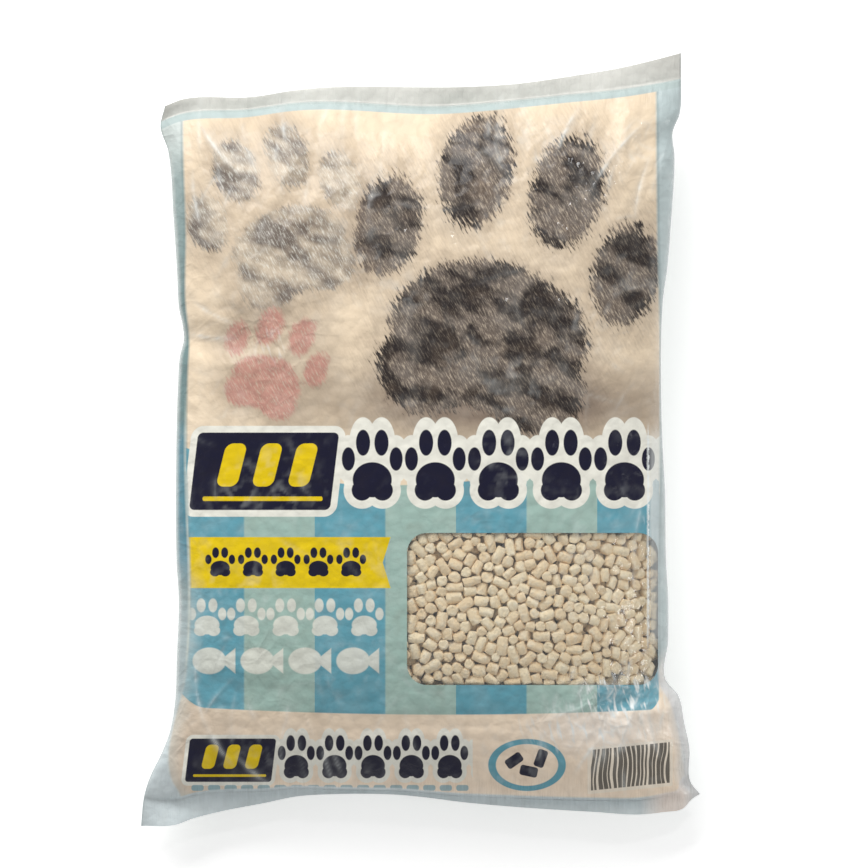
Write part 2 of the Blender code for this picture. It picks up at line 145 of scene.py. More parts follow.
# Soft folds at the corners: middle, heading, half length, width and rise
CORNER_FOLDS = [(118.0, -170.0, 70.0, 28.0, 3.4, 1.5), (98.0, -180.0, 52.0, 24.0, 3.0, 1.0),
                (133.0, -164.0, 100.0, 26.0, 2.6, -1.2), (84.0, -158.0, 18.0, 24.0, 3.0, 0.9),
                (-120.0, -174.0, 122.0, 26.0, 3.2, 1.3), (-130.0, -146.0, 98.0, 24.0, 2.6, -1.0),
                (-98.0, -192.0, 140.0, 18.0, 2.4, 0.9), (112.0, 166.0, 52.0, 30.0, 3.2, 1.3),
                (127.0, 148.0, 76.0, 24.0, 2.6, -1.0), (84.0, 180.0, 66.0, 20.0, 2.6, 0.9),
                (-118.0, 168.0, 128.0, 30.0, 3.2, 1.3), (-131.0, 138.0, 100.0, 24.0, 2.6, -0.9),
                (-80.0, 182.0, 96.0, 18.0, 2.6, 0.8), (-124.0, 60.0, 172.0, 20.0, 2.6, 0.9),
                (-122.0, 74.0, 150.0, 18.0, 2.2, -0.7), (124.0, -60.0, 84.0, 40.0, 2.4, 0.7)]

# Left and right limits of the printed panel, from the bottom seal up
PANEL_LEFT = [(-215.0, -137.0), (-205.0, -139.8), (-197.0, -144.4), (-186.5, -146.4),
              (-172.0, -145.0), (-154.0, -140.6), (-140.0, -136.6), (0.0, -135.9),
              (40.0, -135.2), (58.0, -134.4), (82.0, -136.6), (120.0, -136.4),
              (168.0, -137.8), (200.0, -138.0)]
PANEL_RIGHT = [(-215.0, 152.5), (-197.0, 153.0), (-174.0, 150.2), (-162.0, 147.6),
               (-150.5, 143.6), (-143.0, 139.0), (-120.0, 137.6), (0.0, 138.4),
               (60.0, 138.4), (120.0, 137.0), (210.0, 136.2)]

# Clear window in plan, and over the film
WINDOW_LEFT = -8.1
WINDOW_RIGHT = 137.5
WINDOW_MIDDLE = -97.7
WINDOW_HEIGHT = 88.2
WINDOW_CORNER = 11.6
WINDOW_WIDTH = 155.5
WINDOW_MARGIN = 5.0

# Patches of the film, three of them for painted sheen and glare: middle, half width and half
# height
CRUMPLED_OVAL = (116.0, -149.0, 36.0, 21.0)
SHEEN_LEFT_OVAL = (-112.0, -34.0, 26.0, 24.0)
SHEEN_LOW_OVAL = (108.0, -166.0, 34.0, 13.0)
GLARE_OVAL = (98.0, -167.0, 32.0, 13.0)

# Painted highlight along the pleat on the right and painted sheen on the strip beside it:
# middle and half width across, and what both share along
PLEAT_HIGHLIGHT = (130.9, 0.6)
PALE_SHEEN_STRIP = (135.6, 3.0)
PLEAT_RUN = (-56.0, 62.0)

# Steps of the film's meshes
FRONT_COLUMNS = 132
FRONT_ROWS = 160
BACK_COLUMNS = 60
BACK_ROWS = 80
SEAL_ROWS = 7

HALF_WIDTH = BODY_WIDTH / 2.0
HALF_LENGTH = BODY_LENGTH / 2.0
HALF_WINDOW = WINDOW_HEIGHT / 2.0


def smooth_through(points, t):
    """Values at t of a smooth curve through the (station, value) points."""
    stations = np.array([p[0] for p in points])
    values = np.array([p[1] for p in points])
    t = np.clip(t, stations[0], stations[-1])
    k = np.clip(np.searchsorted(stations, t, side="right") - 1, 0, len(points) - 2)
    steps = np.diff(stations)
    chords = np.diff(values) / steps
    middles = 0.5 * (chords[1:] + chords[:-1])
    before = np.concatenate(([chords[0]], middles))[k]
    after = np.concatenate((middles, [chords[-1]]))[k]
    step = steps[k]
    f = (t - stations[k]) / step
    return ((2 * f ** 3 - 3 * f ** 2 + 1) * values[k]
            + (f ** 3 - 2 * f ** 2 + f) * step * before
            + (3 * f ** 2 - 2 * f ** 3) * values[k + 1]
            + (f ** 3 - f ** 2) * step * after)


def bottom_edge_y(q):
    return -HALF_LENGTH - smooth_through(BOTTOM_EDGE, q)


def top_edge_y(q):
    return HALF_LENGTH + smooth_through(TOP_EDGE, q)


def bottom_fold_y(q):
    return bottom_edge_y(q) + smooth_through(BOTTOM_SEAL_DEPTH, q)


def top_fold_y(q):
    return top_edge_y(q) - smooth_through(TOP_SEAL_DEPTH, q)


def side_station(q, y):
    low = bottom_edge_y(q)
    return (y - low) / (top_edge_y(q) - low)


def left_x(y):
    return -HALF_WIDTH - smooth_through(LEFT_EDGE, side_station(0.0, y))


def right_x(y):
    return HALF_WIDTH + smooth_through(RIGHT_EDGE, side_station(1.0, y))


def place_across(x, y):
    low = left_x(y)
    return (x - low) / (right_x(y) - low)


def place_along(q, y):
    low = bottom_fold_y(q)
    return np.clip((y - low) / (top_fold_y(q) - low), 0.0, 1.0)


def rim_height(q, v):
    low = EAR_HEIGHTS["bottom_left"] * (1 - q) + EAR_HEIGHTS["bottom_right"] * q
    high = EAR_HEIGHTS["top_left"] * (1 - q) + EAR_HEIGHTS["top_right"] * q
    ends = low * (1 - v) + high * v
    return ends + (SIDE_HEIGHT - ends) * (1.0 - np.abs(2.0 * v - 1.0) ** 4)


def swell(q, v):
    across = np.maximum(0.0, 1.0 - np.abs(2.0 * q - 1.0) ** ACROSS_ROUNDING)
    along = np.maximum(0.0, 1.0 - np.abs(2.0 * v - 1.0) ** ALONG_ROUNDING)
    return np.sqrt(across * along)


def draw_tucks(seed, count, depth, half_width, reach):
    """Tucks: which seal, place across, depth, half width and reach."""
    rng = random.Random(seed)
    tucks = []
    for at_top in (False, True):
        for k in range(count):
            place = (k + 0.5 + rng.uniform(-0.3, 0.3)) / count
            tucks.append((at_top, place, rng.uniform(*depth),
                          rng.uniform(*half_width) / BODY_WIDTH, rng.uniform(*reach)))
    return tucks


MAIN_TUCKS = draw_tucks(MAIN_SEED, *MAIN_TUCK_RANGES)
BACK_TUCKS = draw_tucks(BACK_SEED, *MAIN_TUCK_RANGES)
FINE_TUCKS = draw_tucks(FINE_SEED, *FINE_TUCK_RANGES)


def tuck_depth(tucks, q, y):
    total = np.zeros_like(y)
    from_bottom = y - bottom_fold_y(q)
    from_top = top_fold_y(q) - y
    for at_top, place, depth, half, reach in tucks:
        run = np.maximum(0.0, from_top if at_top else from_bottom)
        off = np.minimum(1.0, np.abs(q - place) / half)
        start = np.minimum(1.0, run / TUCK_START)
        total += depth * (1.0 - off * off) ** 2 * start * np.exp(-run / reach)
    return total


def fold_rise(x, y):
    total = np.zeros_like(y)
    for (x0, y0), (x1, y1), half, rise in FOLDS:
        dx = x1 - x0
        dy = y1 - y0
        near = np.clip(((x - x0) * dx + (y - y0) * dy) / (dx * dx + dy * dy), 0.0, 1.0)
        off = np.hypot(x - x0 - near * dx, y - y0 - near * dy) / half
        fade = np.minimum(1.0, (1.0 - near) / FOLD_FADE)
        total += rise * (1.0 - np.minimum(1.0, off) ** 2) ** 2 * fade
    return total


def noise(x, y, pitch, seed):
    """Smooth noise from -1 to 1 with features about one pitch across."""
    rng = np.random.RandomState(seed)
    order = rng.permutation(256)
    turns = rng.uniform(0.0, 2.0 * math.pi, 256)
    gx = x / pitch + rng.uniform(0.0, 50.0)
    gy = y / pitch + rng.uniform(0.0, 50.0)
    ix = np.floor(gx).astype(int)
    iy = np.floor(gy).astype(int)
    fx = gx - ix
    fy = gy - iy
    blend_x = fx * fx * fx * (fx * (6.0 * fx - 15.0) + 10.0)
    blend_y = fy * fy * fy * (fy * (6.0 * fy - 15.0) + 10.0)

    def corner(step_x, step_y):
        turn = turns[order[(order[(ix + step_x) % 256] + iy + step_y) % 256]]
        return np.cos(turn) * (fx - step_x) + np.sin(turn) * (fy - step_y)

    low = corner(0, 0) * (1 - blend_x) + corner(1, 0) * blend_x
    high = corner(0, 1) * (1 - blend_x) + corner(1, 1) * blend_x
    return 1.5 * (low * (1 - blend_y) + high * blend_y)


def draw_creases():
    """Seeded sharp creases: middle, heading, half length, width and rise."""
    rng = random.Random(CREASE_SEED)
    creases = []

    def add(kind, x, y, heading):
        half, width, rise = kind[1:]
        creases.append((x, y, math.radians(heading), rng.uniform(*half), rng.uniform(*width),
                        rng.choice((-1.0, 1.0)) * rng.uniform(*rise)))

    for _ in range(SEAL_CREASES[0]):
        at_top = rng.random() < CREASES_AT_TOP
        y = 196.0 - rng.uniform(4.0, 60.0) if at_top else -206.0 + rng.uniform(4.0, 62.0)
        add(SEAL_CREASES, rng.uniform(-136.0, 138.0), y, 90.0 + rng.gauss(0.0, 26.0))
    for _ in range(SIDE_CREASES[0]):
        side = rng.choice((-1.0, 1.0))
        add(SIDE_CREASES, side * rng.uniform(112.0, 141.0), rng.uniform(-170.0, 170.0),
            rng.uniform(0.0, 180.0))
    for _ in range(BODY_CREASES[0]):
        add(BODY_CREASES, rng.uniform(-120.0, 120.0), rng.uniform(-150.0, 150.0),
            rng.uniform(0.0, 180.0))
    for _ in range(LOW_CREASES[0]):
        add(LOW_CREASES, rng.gauss(110.0, 17.0), rng.gauss(-155.0, 12.0),
            rng.gauss(82.0, 24.0))
    for _ in range(TOP_CREASES[0]):
        add(TOP_CREASES, rng.gauss(124.0, 10.0), rng.gauss(170.0, 10.0),
            rng.gauss(120.0, 40.0))
    return creases


CREASES = draw_creases() + [(x, y, math.radians(turn), half, width, rise)
                            for x, y, turn, half, width, rise in CORNER_FOLDS]


def crease_rise(x, y):
    """Rise of the creases, and how far their crests are whitened with painted highlight, 0 to 1.
    """
    total = np.zeros_like(y)
    white = np.zeros_like(y)
    for cx, cy, turn, half, width, rise in CREASES:
        along = ((x - cx) * math.cos(turn) + (y - cy) * math.sin(turn)) / half
        bend = CREASE_BEND * half * along * along
        off = np.abs(-(x - cx) * math.sin(turn) + (y - cy) * math.cos(turn) + bend)
        fade = (1.0 - np.minimum(1.0, along ** 2)) ** 2
        total += rise * np.exp(-off / width) * fade
        white = np.maximum(white, np.exp(-off / CREASE_WHITE) * fade * min(1.0, abs(rise)))
    return total, white


def lump_rise(x, y):
    """The film drawn over the pellets under it: rounded lumps at pellet size."""
    wide = (x + LUMP_WANDER * noise(x, y, 13.0, 5)) / LUMP_PITCH
    high = (y + LUMP_WANDER * noise(x, y, 13.0, 6)) / LUMP_PITCH
    nearest = np.full_like(y, 9.0)
    for dx in (-1, 0, 1):
        for dy in (-1, 0, 1):
            i = np.floor(wide) + dx
            j = np.floor(high) + dy
            across = np.modf(np.abs(np.sin(i * 127.1 + j * 311.7) * 43758.5))[0]
            along = np.modf(np.abs(np.sin(i * 269.5 + j * 183.3) * 43758.5))[0]
            far = np.hypot(wide - i - 0.5 - LUMP_SPREAD * (across - 0.5),
                           high - j - 0.5 - LUMP_SPREAD * (along - 0.5))
            nearest = np.minimum(nearest, far)
    patch = np.clip(0.75 + 0.6 * noise(x, y, 46.0, 7), 0.25, 1.0)
    return -LUMP_DEPTH * patch * nearest ** 2


def pleat_rise(x, y):
    """Long narrow pleats with a slow wander."""
    total = np.zeros_like(y)
    for x0, y0, x1, y1, half, rise in PLEATS:
        share = np.clip((y - y0) / (y1 - y0), 0.0, 1.0)
        middle = x0 + share * (x1 - x0) + 1.3 * noise(x * 0.0, y, 21.0, 9)
        off = np.minimum(1.0, np.abs(x - middle) / half)
        ends = np.minimum(1.0, 6.0 * np.minimum(share, 1.0 - share))
        total += rise * (1.0 - off) ** 1.5 * ends
    return total


def off_oval(x, y, middle_x, middle_y, half_x, half_y):
    """How far off an oval's middle a place is, 1 at the outline."""
    return np.hypot((x - middle_x) / half_x, (y - middle_y) / half_y)


def crinkled(x, y):
    """Where the film is crumpled most, 0 to 1: the rim, both seals, the low right."""
    side = 0.6 * (np.abs(x) - 104.0) / 36.0
    end = 0.6 * np.maximum(y - 150.0, -150.0 - y) / 42.0
    corner = 1.5 - off_oval(x, y, *CRUMPLED_OVAL)
    patch = 0.2 + 0.6 * noise(x, y, 58.0, 14)
    return np.clip(np.maximum.reduce([side, end, corner, patch]), 0.1, 1.0)


def front_detail(q, y, x):
    """How far the creased film stands off the plain form."""
    wave = 0.9 * noise(x, y, 62.0, 1) + 0.5 * noise(x, y, 27.0, 2)
    ridged = 1.0 - np.abs(noise(x, y, 19.0, 3))
    patch = np.clip(0.4 + 1.1 * noise(x, y, 70.0, 4), 0.0, 1.0)
    crinkle = 0.5 * patch * (ridged ** 3 - 0.4)
    facets = np.abs(noise(x, y, 13.0, 15)) + 0.5 * np.abs(noise(x, y, 6.5, 16))
    return (wave + crinkle + 1.3 * crease_rise(x, y)[0] + lump_rise(x, y) + pleat_rise(x, y)
            - crinkled(x, y) ** 2 * facets - tuck_depth(FINE_TUCKS, q, y))


def plan_x(q, y):
    return left_x(y) + q * (right_x(y) - left_x(y))


def front_height(q, y):
    x = plan_x(q, y)
    v = place_along(q, y)
    full = swell(q, v)
    held = np.minimum(1.0, 3.0 * full)
    return (rim_height(q, v) + CROWN_RISE * full
            + held * (fold_rise(x, y) - tuck_depth(MAIN_TUCKS, q, y)))


def plain_height(q, y):
    v = place_along(q, y)
    return rim_height(q, v) + CROWN_RISE * swell(q, v)


def eased_steps(count):
    f = np.linspace(-1.0, 1.0, 2 * count + 1)
    return 0.5 * f + 0.5 * np.sin(f * math.pi / 2.0)


def film_grid(half_columns, half_rows):
    """Places q, y of a film sheet, as arrays of columns by rows."""
    q = 0.5 + 0.5 * eased_steps(half_columns)
    low_edge = bottom_edge_y(q)
    low_fold = bottom_fold_y(q)
    high_fold = top_fold_y(q)
    high_edge = top_edge_y(q)
    rows = []
    for k in range(SEAL_ROWS):
        rows.append(low_edge + (low_fold - low_edge) * k / SEAL_ROWS)
    middle = 0.5 * (low_fold + high_fold)
    half = 0.5 * (high_fold - low_fold)
    for step in eased_steps(half_rows):
        rows.append(middle + half * step)
    for k in range(1, SEAL_ROWS + 1):
        rows.append(high_fold + (high_edge - high_fold) * k / SEAL_ROWS)
    y = np.array(rows).T
    q = np.repeat(q[:, None], y.shape[1], axis=1)
    return q, y


def seal_wave(q, y):
    """Slow waves and curled ears of the loose seals, the same on both sheets."""
    past_low = np.clip((bottom_fold_y(q) - y) / 10.0, 0.0, 1.5)
    past_high = np.clip((y - top_fold_y(q)) / 10.0, 0.0, 1.5)
    x = q * BODY_WIDTH
    low = 1.6 * np.sin(x / 17.0 + 0.8) + 1.1 * np.sin(x / 7.5)
    high = 1.3 * np.sin(x / 21.0) + 0.9 * np.sin(x / 8.6 + 2.0)
    curl = 5.0 * np.maximum(0.0, np.abs(2.0 * q - 1.0) - 0.86) / 0.14
    return past_low * (low - curl) + past_high * (high + 0.6 * curl)


def grid_normals(points):
    across = np.gradient(points, axis=0)
    along = np.gradient(points, axis=1)
    normals = np.cross(across, along)
    return normals / np.maximum(1e-9, np.linalg.norm(normals, axis=2, keepdims=True))


def plan_points(q, y, z):
    return np.stack([plan_x(q, y), y, z], axis=2)


def front_sheet(half_columns, half_rows):
    q, y = film_grid(half_columns, half_rows)
    base = plan_points(q, y, front_height(q, y))
    held = np.minimum(1.0, 2.2 * swell(q, place_along(q, y)))
    held[0, :] = 0.0
    held[-1, :] = 0.0
    rise = held * front_detail(q, y, base[:, :, 0])
    sheet = base + grid_normals(base) * rise[:, :, None]
    sheet[:, :, 2] += seal_wave(q, y)
    sheet[1:-1, 1:-1, 2] += FILM_HALF
    return sheet


def back_sheet(half_columns, half_rows):
    q, y = film_grid(half_columns, half_rows)
    v = place_along(q, y)
    full = swell(q, v)
    held = np.minimum(1.0, 3.0 * full)
    z = rim_height(q, v) - BACK_DROP * full + held * tuck_depth(BACK_TUCKS, q, y)
    x = plan_x(q, y)
    z += held * (0.7 * noise(x, y, 34.0, 21) + 0.4 * noise(x, y, 15.0, 22))
    z += seal_wave(q, y)
    z[1:-1, 1:-1] -= FILM_HALF
    return plan_points(q, y, np.maximum(0.0, z))


# The frame's origin, found from the corner that both the part and this sheet reach
ORIGIN_X = left_x(bottom_edge_y(0.0)) - cad_box[0][0] / MM
ORIGIN_Y = top_edge_y(1.0) - cad_box[1][1] / MM


def to_frame(points):
    """Millimetres about the body's middle to metres in the frame."""
    return (points - np.array([ORIGIN_X, ORIGIN_Y, 0.0])) * MM


def mesh_object(name, points, faces, normals=None):
    mesh = bpy.data.meshes.new(name)
    mesh.from_pydata(to_frame(points).tolist(), [], faces)
    mesh.polygons.foreach_set("use_smooth", [True] * len(mesh.polygons))
    if normals is not None:
        mesh.normals_split_custom_set_from_vertices(normals.tolist())
    thing = bpy.data.objects.new(name, mesh)
    bpy.context.scene.collection.objects.link(thing)
    return thing


def keep_value(thing, name, values):
    """Keeps a value on each point of a mesh, for its material to read."""
    attribute = thing.data.attributes.new(name, "FLOAT", "POINT")
    attribute.data.foreach_set("value", values)


def grid_corners(grid):
    """What a grid of points holds at the four corners of each face."""
    return np.stack([grid[:-1, :-1], grid[1:, :-1], grid[1:, 1:], grid[:-1, 1:]], axis=2)


def relief_marks(sheet):
    """Where the fine relief is strong, how its lines bend and where they break off, and where
    the film is whitened with painted sheen.
    """
    x = sheet[:, :, 0]
    y = sheet[:, :, 1]
    broken = (0.5 + 1.6 * noise(x, y, 11.0, 17) + 0.8 * noise(x, y, 5.0, 18))
    broken = np.clip(broken, 0.0, 1.0)
    soft = np.clip(1.9 * noise(x, y, 7.5, 24) + 1.1 * noise(x, y, 3.4, 25), 0.0, 1.0)
    left = np.clip(1.25 - off_oval(x, y, *SHEEN_LEFT_OVAL), 0.0, 1.0)
    patch = np.clip(0.06 + 0.5 * noise(x, y, 44.0, 23) + 0.5 * left, 0.0, 1.0)
    whitening_and_sheen = 0.6 * soft * patch + 1.1 * crease_rise(x, y)[1]
    return {"crinkle": crinkled(x, y), "bend": noise(x, y, 17.0, 19) * 5.0,
            "broken": broken, "whitening_and_sheen": np.clip(whitening_and_sheen * (0.35 + 0.65 * broken), 0.0, 1.0)}


def front_marks(sheet):
    """Values kept on the front film's points, which its material reads."""
    x = sheet[:, :, 0]
    y = sheet[:, :, 1]
    q = np.repeat(film_grid(FRONT_COLUMNS, FRONT_ROWS)[0][:, :1], y.shape[1], axis=1)
    return {"band": np.maximum(smooth_through(PANEL_LEFT, y) - x,
                               x - smooth_through(PANEL_RIGHT, y)),
            "side": np.minimum(x - left_x(y), right_x(y) - x),
            "past_top": y - top_fold_y(q), "past_low": bottom_fold_y(q) - y,
            **relief_marks(sheet)}


def sheet_object(name, sheet, upward, wanted, marks):
    """The wanted faces of a grid of points as an object, with the whole grid's normals."""
    columns, rows = sheet.shape[:2]
    normals = grid_normals(sheet).reshape(-1, 3) * (1.0 if upward else -1.0)
    corners = grid_corners(np.arange(columns * rows).reshape(columns, rows))[wanted]
    if not upward:
        corners = corners[:, ::-1]
    used = np.unique(corners)
    fresh = np.zeros(columns * rows, int)
    fresh[used] = np.arange(len(used))
    thing = mesh_object(name, sheet.reshape(-1, 3)[used], fresh[corners].tolist(),
                        normals[used])
    for mark, values in marks.items():
        keep_value(thing, mark, values.reshape(-1)[used].tolist())
    return thing


def plug(tree, socket, value):
    """Links a field or an output to an input, or sets the input to a plain value."""
    if isinstance(value, Field):
        value = value.socket
    if isinstance(value, bpy.types.NodeSocket):
        tree.links.new(value, socket)
    else:
        socket.default_value = value


def add_node(tree, kind, inputs, **settings):
    """A new shader node, its inputs given by name or by place."""
    made = tree.nodes.new("ShaderNode" + kind)
    for name, value in settings.items():
        setattr(made, name, value)
    for place, value in inputs.items():
        plug(tree, made.inputs[place], value)
    return made


class Field:
    """A number that varies over a surface. Its arithmetic adds Math nodes."""

    def __init__(self, tree, socket):
        self.tree = tree
        self.socket = socket

    def node(self, operation, *others, clamp=False):
        made = add_node(self.tree, "Math", dict(enumerate((self, *others))),
                        operation=operation, use_clamp=clamp)
        return Field(self.tree, made.outputs[0])

    def __add__(self, other):
        return self.node("ADD", other)

    def __sub__(self, other):
        return self.node("SUBTRACT", other)

    def __mul__(self, other):
        return self.node("MULTIPLY", other)

    def __truediv__(self, other):
        return self.node("DIVIDE", other)

    def least(self, other):
        return self.node("MINIMUM", other)

    def most(self, other):
        return self.node("MAXIMUM", other)

    def scaled(self, by, plus, clamp=False):
        return self.node("MULTIPLY_ADD", by, plus, clamp=clamp)

    def clamped(self, by, plus):
        """Scaled, then clamped from 0 to 1."""
        return self.scaled(by, plus, clamp=True)


def linear(red, green, blue):
    """A colour as read from the photograph, 0 to 255, in linear light."""
    def channel(value):
        value /= 255.0
        return value / 12.92 if value <= 0.04045 else ((value + 0.055) / 1.055) ** 2.4
    return (channel(red), channel(green), channel(blue), 1.0)


def inside(distance, soft=0.3):
    """1 where the distance is below zero, 0 above, with a soft edge in millimetres."""
    return distance.clamped(-1.0 / soft, 0.5)


def outside(distance, soft=0.3):
    """1 where the distance is above zero, 0 below, with a soft edge in millimetres."""
    return distance.clamped(1.0 / soft, 0.5)


def distance_strip(value, middle, half):
    """How far a value lies past a strip about its middle, below zero in the strip."""
    return (value - middle).node("ABSOLUTE") - half


def distance_box(x, y, left, right, low, high, radius):
    wide = distance_strip(x, 0.5 * (left + right), 0.5 * (right - left) - radius).most(0.0)
    tall = distance_strip(y, 0.5 * (low + high), 0.5 * (high - low) - radius).most(0.0)
    return (wide * wide + tall * tall).node("SQRT") - radius


def distance_oval(x, y, middle_x, middle_y, half_x, half_y):
    wide = (x - middle_x) / half_x
    tall = (y - middle_y) / half_y
    return ((wide * wide + tall * tall).node("SQRT") - 1.0) * min(half_x, half_y)


def distance_paw(x, y, size):
    """A paw print: one broad pad with two lobes, and four toes."""
    wide = (x / size).node("ABSOLUTE")
    tall = y / size
    shape = distance_oval(wide, tall, 0.0, -0.2, 0.36, 0.27)
    for oval in ((0.19, -0.36, 0.19, 0.16), (0.44, 0.12, 0.12, 0.18),
                 (0.17, 0.37, 0.13, 0.2)):
        shape = shape.least(distance_oval(wide, tall, *oval))
    return shape * size


def turned(x, y, middle_x, middle_y, degrees):
    """Coordinates about a middle, turned counter-clockwise."""
    c = math.cos(math.radians(degrees))
    s = math.sin(math.radians(degrees))
    dx = x - middle_x
    dy = y - middle_y
    return dx * c + dy * s, dy * c - dx * s


class Paint:
    """Builds one material's nodes: print coordinates, noises, and layers of colour."""

    def __init__(self, name, dimensions="3D"):
        self.dimensions = dimensions
        self.material = bpy.data.materials.new(name)
        self.material.use_nodes = True
        self.tree = self.material.node_tree
        self.tree.nodes.clear()
        self.output = self.add("OutputMaterial")
        self.place = self.add("TexCoord").outputs["Object"]
        parts = self.add("SeparateXYZ", {0: self.place}).outputs
        self.x = Field(self.tree, parts[0]).scaled(1.0 / MM, float(ORIGIN_X))
        self.y = Field(self.tree, parts[1]).scaled(1.0 / MM, float(ORIGIN_Y))
        self.z = Field(self.tree, parts[2]).scaled(1.0 / MM, 0.0)

    def add(self, kind, inputs=None, **settings):
        return add_node(self.tree, kind, inputs or {}, **settings)

    def baked(self, name):
        """A value kept on the mesh's points."""
        made = self.add("Attribute", attribute_name=name)
        return Field(self.tree, made.outputs["Fac"])

    def vector(self, x, y, z=0.0):
        return self.add("CombineXYZ", {0: x, 1: y, 2: z}).outputs[0]

    def noise(self, vector, scale, detail=2.0, roughness=0.5):
        made = self.add("TexNoise", {"Vector": vector, "Scale": scale, "Detail": detail,
                                     "Roughness": roughness},
                        noise_dimensions=self.dimensions)
        return Field(self.tree, made.outputs[0])

    def cells(self, vector, scale, feature):
        made = self.add("TexVoronoi", {"Vector": vector, "Scale": scale}, feature=feature,
                        voronoi_dimensions=self.dimensions)
        return Field(self.tree, made.outputs["Distance"])

    def mix(self, under, over, mask):
        """Colour over another where the mask is 1. Colours are tuples or sockets."""
        made = self.add("Mix", {0: mask}, data_type="RGBA")
        colours = [socket for socket in made.inputs if socket.type == "RGBA"]
        for socket, value in zip(colours, (under, over)):
            plug(self.tree, socket, value)
        return [socket for socket in made.outputs if socket.type == "RGBA"][0]

    def layers(self, colour, *inks):
        """Inks laid over a colour in turn, each given with its mask."""
        for ink, mask in inks:
            colour = self.mix(colour, ink, mask)
        return colour

    def bump(self, height, distance, strength, before=None):
        inputs = {"Height": height, "Distance": distance, "Strength": strength}
        if before is not None:
            inputs["Normal"] = before
        return self.add("Bump", inputs).outputs[0]

    def principled(self, colour, roughness, normal, **settings):
        named = {name.replace("_", " "): value for name, value in settings.items()}
        return self.add("BsdfPrincipled", {"Base Color": colour, "Roughness": roughness,
                                           "Normal": normal, **named})

    def blend(self, mask, under, over):
        """A shader over another where the mask is 1."""
        return self.add("MixShader", {0: mask, 1: under.outputs[0], 2: over.outputs[0]})

    def show(self, shader):
        """The finished material, with this shader as its surface."""
        plug(self.tree, self.output.inputs["Surface"], shader.outputs[0])
        return self.material


# Inks of the print, some of them also laid as painted highlight, sheen and shade
CREAM = linear(235, 215, 187)
CREAM_LOW = linear(246, 226, 202)
TEAL = linear(100, 162, 178)
TEAL_LIGHT = linear(162, 190, 180)
BAND_GREY = linear(104, 132, 132)
BAND_BLUE = linear(84, 136, 152)
# Pale band ink, also laid as painted highlight and sheen
BAND_PALE_AND_SHEEN = linear(204, 212, 208)
BAND_RIGHT = linear(190, 203, 203)
BAND_LOW = linear(240, 228, 218)
SEAL_GREY = linear(214, 213, 206)
SEAL_STRIP = linear(182, 196, 194)
SEAL_LOW = linear(214, 224, 226)
FLAP_GREY = linear(202, 211, 216)
# Whitening of creased film, with painted highlights, glints, glare and sheen laid in it
STRESS_WHITE_AND_SHEEN = linear(236, 240, 238)
NAVY = linear(6, 6, 38)
BLACK = linear(4, 3, 3)
WHITE = linear(238, 236, 224)
PALE_INK = linear(224, 224, 212)
YELLOW = linear(232, 200, 10)
CHARCOAL = linear(40, 33, 32)
FUR_GREY = linear(112, 101, 92)
FUR_LIGHT = linear(206, 190, 168)
PINK = linear(194, 144, 130)
SOFT_SHADE = linear(120, 104, 92)
SIDE_LINE = linear(112, 134, 134)
# Light line low on the left: a painted highlight on the crease
SIDE_LINE_LOW = linear(214, 220, 208)
RIM_SHADE = linear(150, 160, 160)
# Painted sheen over the crumpled low right
SHEEN_CREAM = linear(255, 244, 232)
PALE_TINT = linear(255, 248, 236)
DARK_TINT = linear(140, 118, 96)
HOLLOW_SHADE = linear(48, 38, 32)

# Colours of the litter, the floor and the clear film
PULP_DEEP = linear(243, 216, 177)
PULP_LIGHT = linear(255, 236, 202)
PULP_PALE = linear(255, 245, 224)
PULP_GRAIN = linear(206, 180, 140)
PULP_SHADE = linear(96, 70, 46)
FLOOR_WHITE = linear(248, 248, 248)
CLEAR_FILM = (0.97, 0.98, 0.97, 1.0)

# Gloss of the front and of the back: weight of the coat, and specular level
FRONT_GLOSS = (0.18, 0.12)
BACK_GLOSS = (0.3, 0.4)

# Boxes of the print: left, right, low and high
EMBLEM_ROW = (-134.6, 136.3, -40.3, 11.9)
STRIP_ROW = (-137.0, 27.8, -198.0, -168.8)
RIBBON = (-135.9, -12.0, -85.6, -56.0)
BARS = (98.6, 144.2, -203.0, -179.5)
BARS_GROUND = (96.6, 146.0, -205.0, -178.0)

# Plaque and paws of an emblem row
PLAQUE_SHARE = 0.325
PLAQUE_BARS = 3
EMBLEM_PAWS = 5
PAW_STRETCH = 1.2

# Rows of marks: left, right, pitch, middle height and size
RIBBON_PAWS = (-126.0, -31.0, 19.0, -70.8, 15.5)
PALE_PAWS = (-135.5, -21.5, 22.8, -103.0, 20.0)
PALE_FISH = (-134.0, -22.8, 27.8, -127.8, 27.0)
FISH_STRETCH = 1.3

# Large paws of the picture: middle, size and turn
PICTURE_PAWS = ((46.0, 92.0, 160.0, -12.0), (-82.0, 128.0, 92.0, 18.0),
                (-86.0, 44.0, 56.0, -22.0))

# Oval of shade in the picture, and the picture's low limit
PICTURE_SHADE = (52.0, 20.0, 100.0, 20.0)
PICTURE_LOW = -12.0

# Stripes: pitch, first edge, and the heights of their top and low limits
STRIPE_PITCH = 40.96
STRIPE_FIRST = -143.56
STRIPE_TOP = -26.0
STRIPE_LOW = -159.0

# Ring: its oval, half its line's width, places and turns of its pellets, and one's box
RING = (61.5, -188.2, 20.3, 13.6)
RING_HALF = 1.5
RING_PELLETS = ((54.0, -185.6, 35.0), (62.5, -191.8, -12.0), (69.5, -184.4, 70.0))
RING_PELLET = (-5.2, 5.2, -3.0, 3.0, 1.6)

# Broken line: its ends, its pitch, and the box of one dash
LINE_LEFT = -134.0
LINE_RIGHT = 28.0
LINE_PITCH = 9.6
LINE_DASH = (-4.0, 3.2, -203.2, -199.8, 1.5)

# Bars: pitch, slope, and the dark share of a bar's cell, at least and how much more
BAR_PITCH = 2.6
BAR_SLOPE = 0.1
BAR_DARK = (0.42, 0.5)


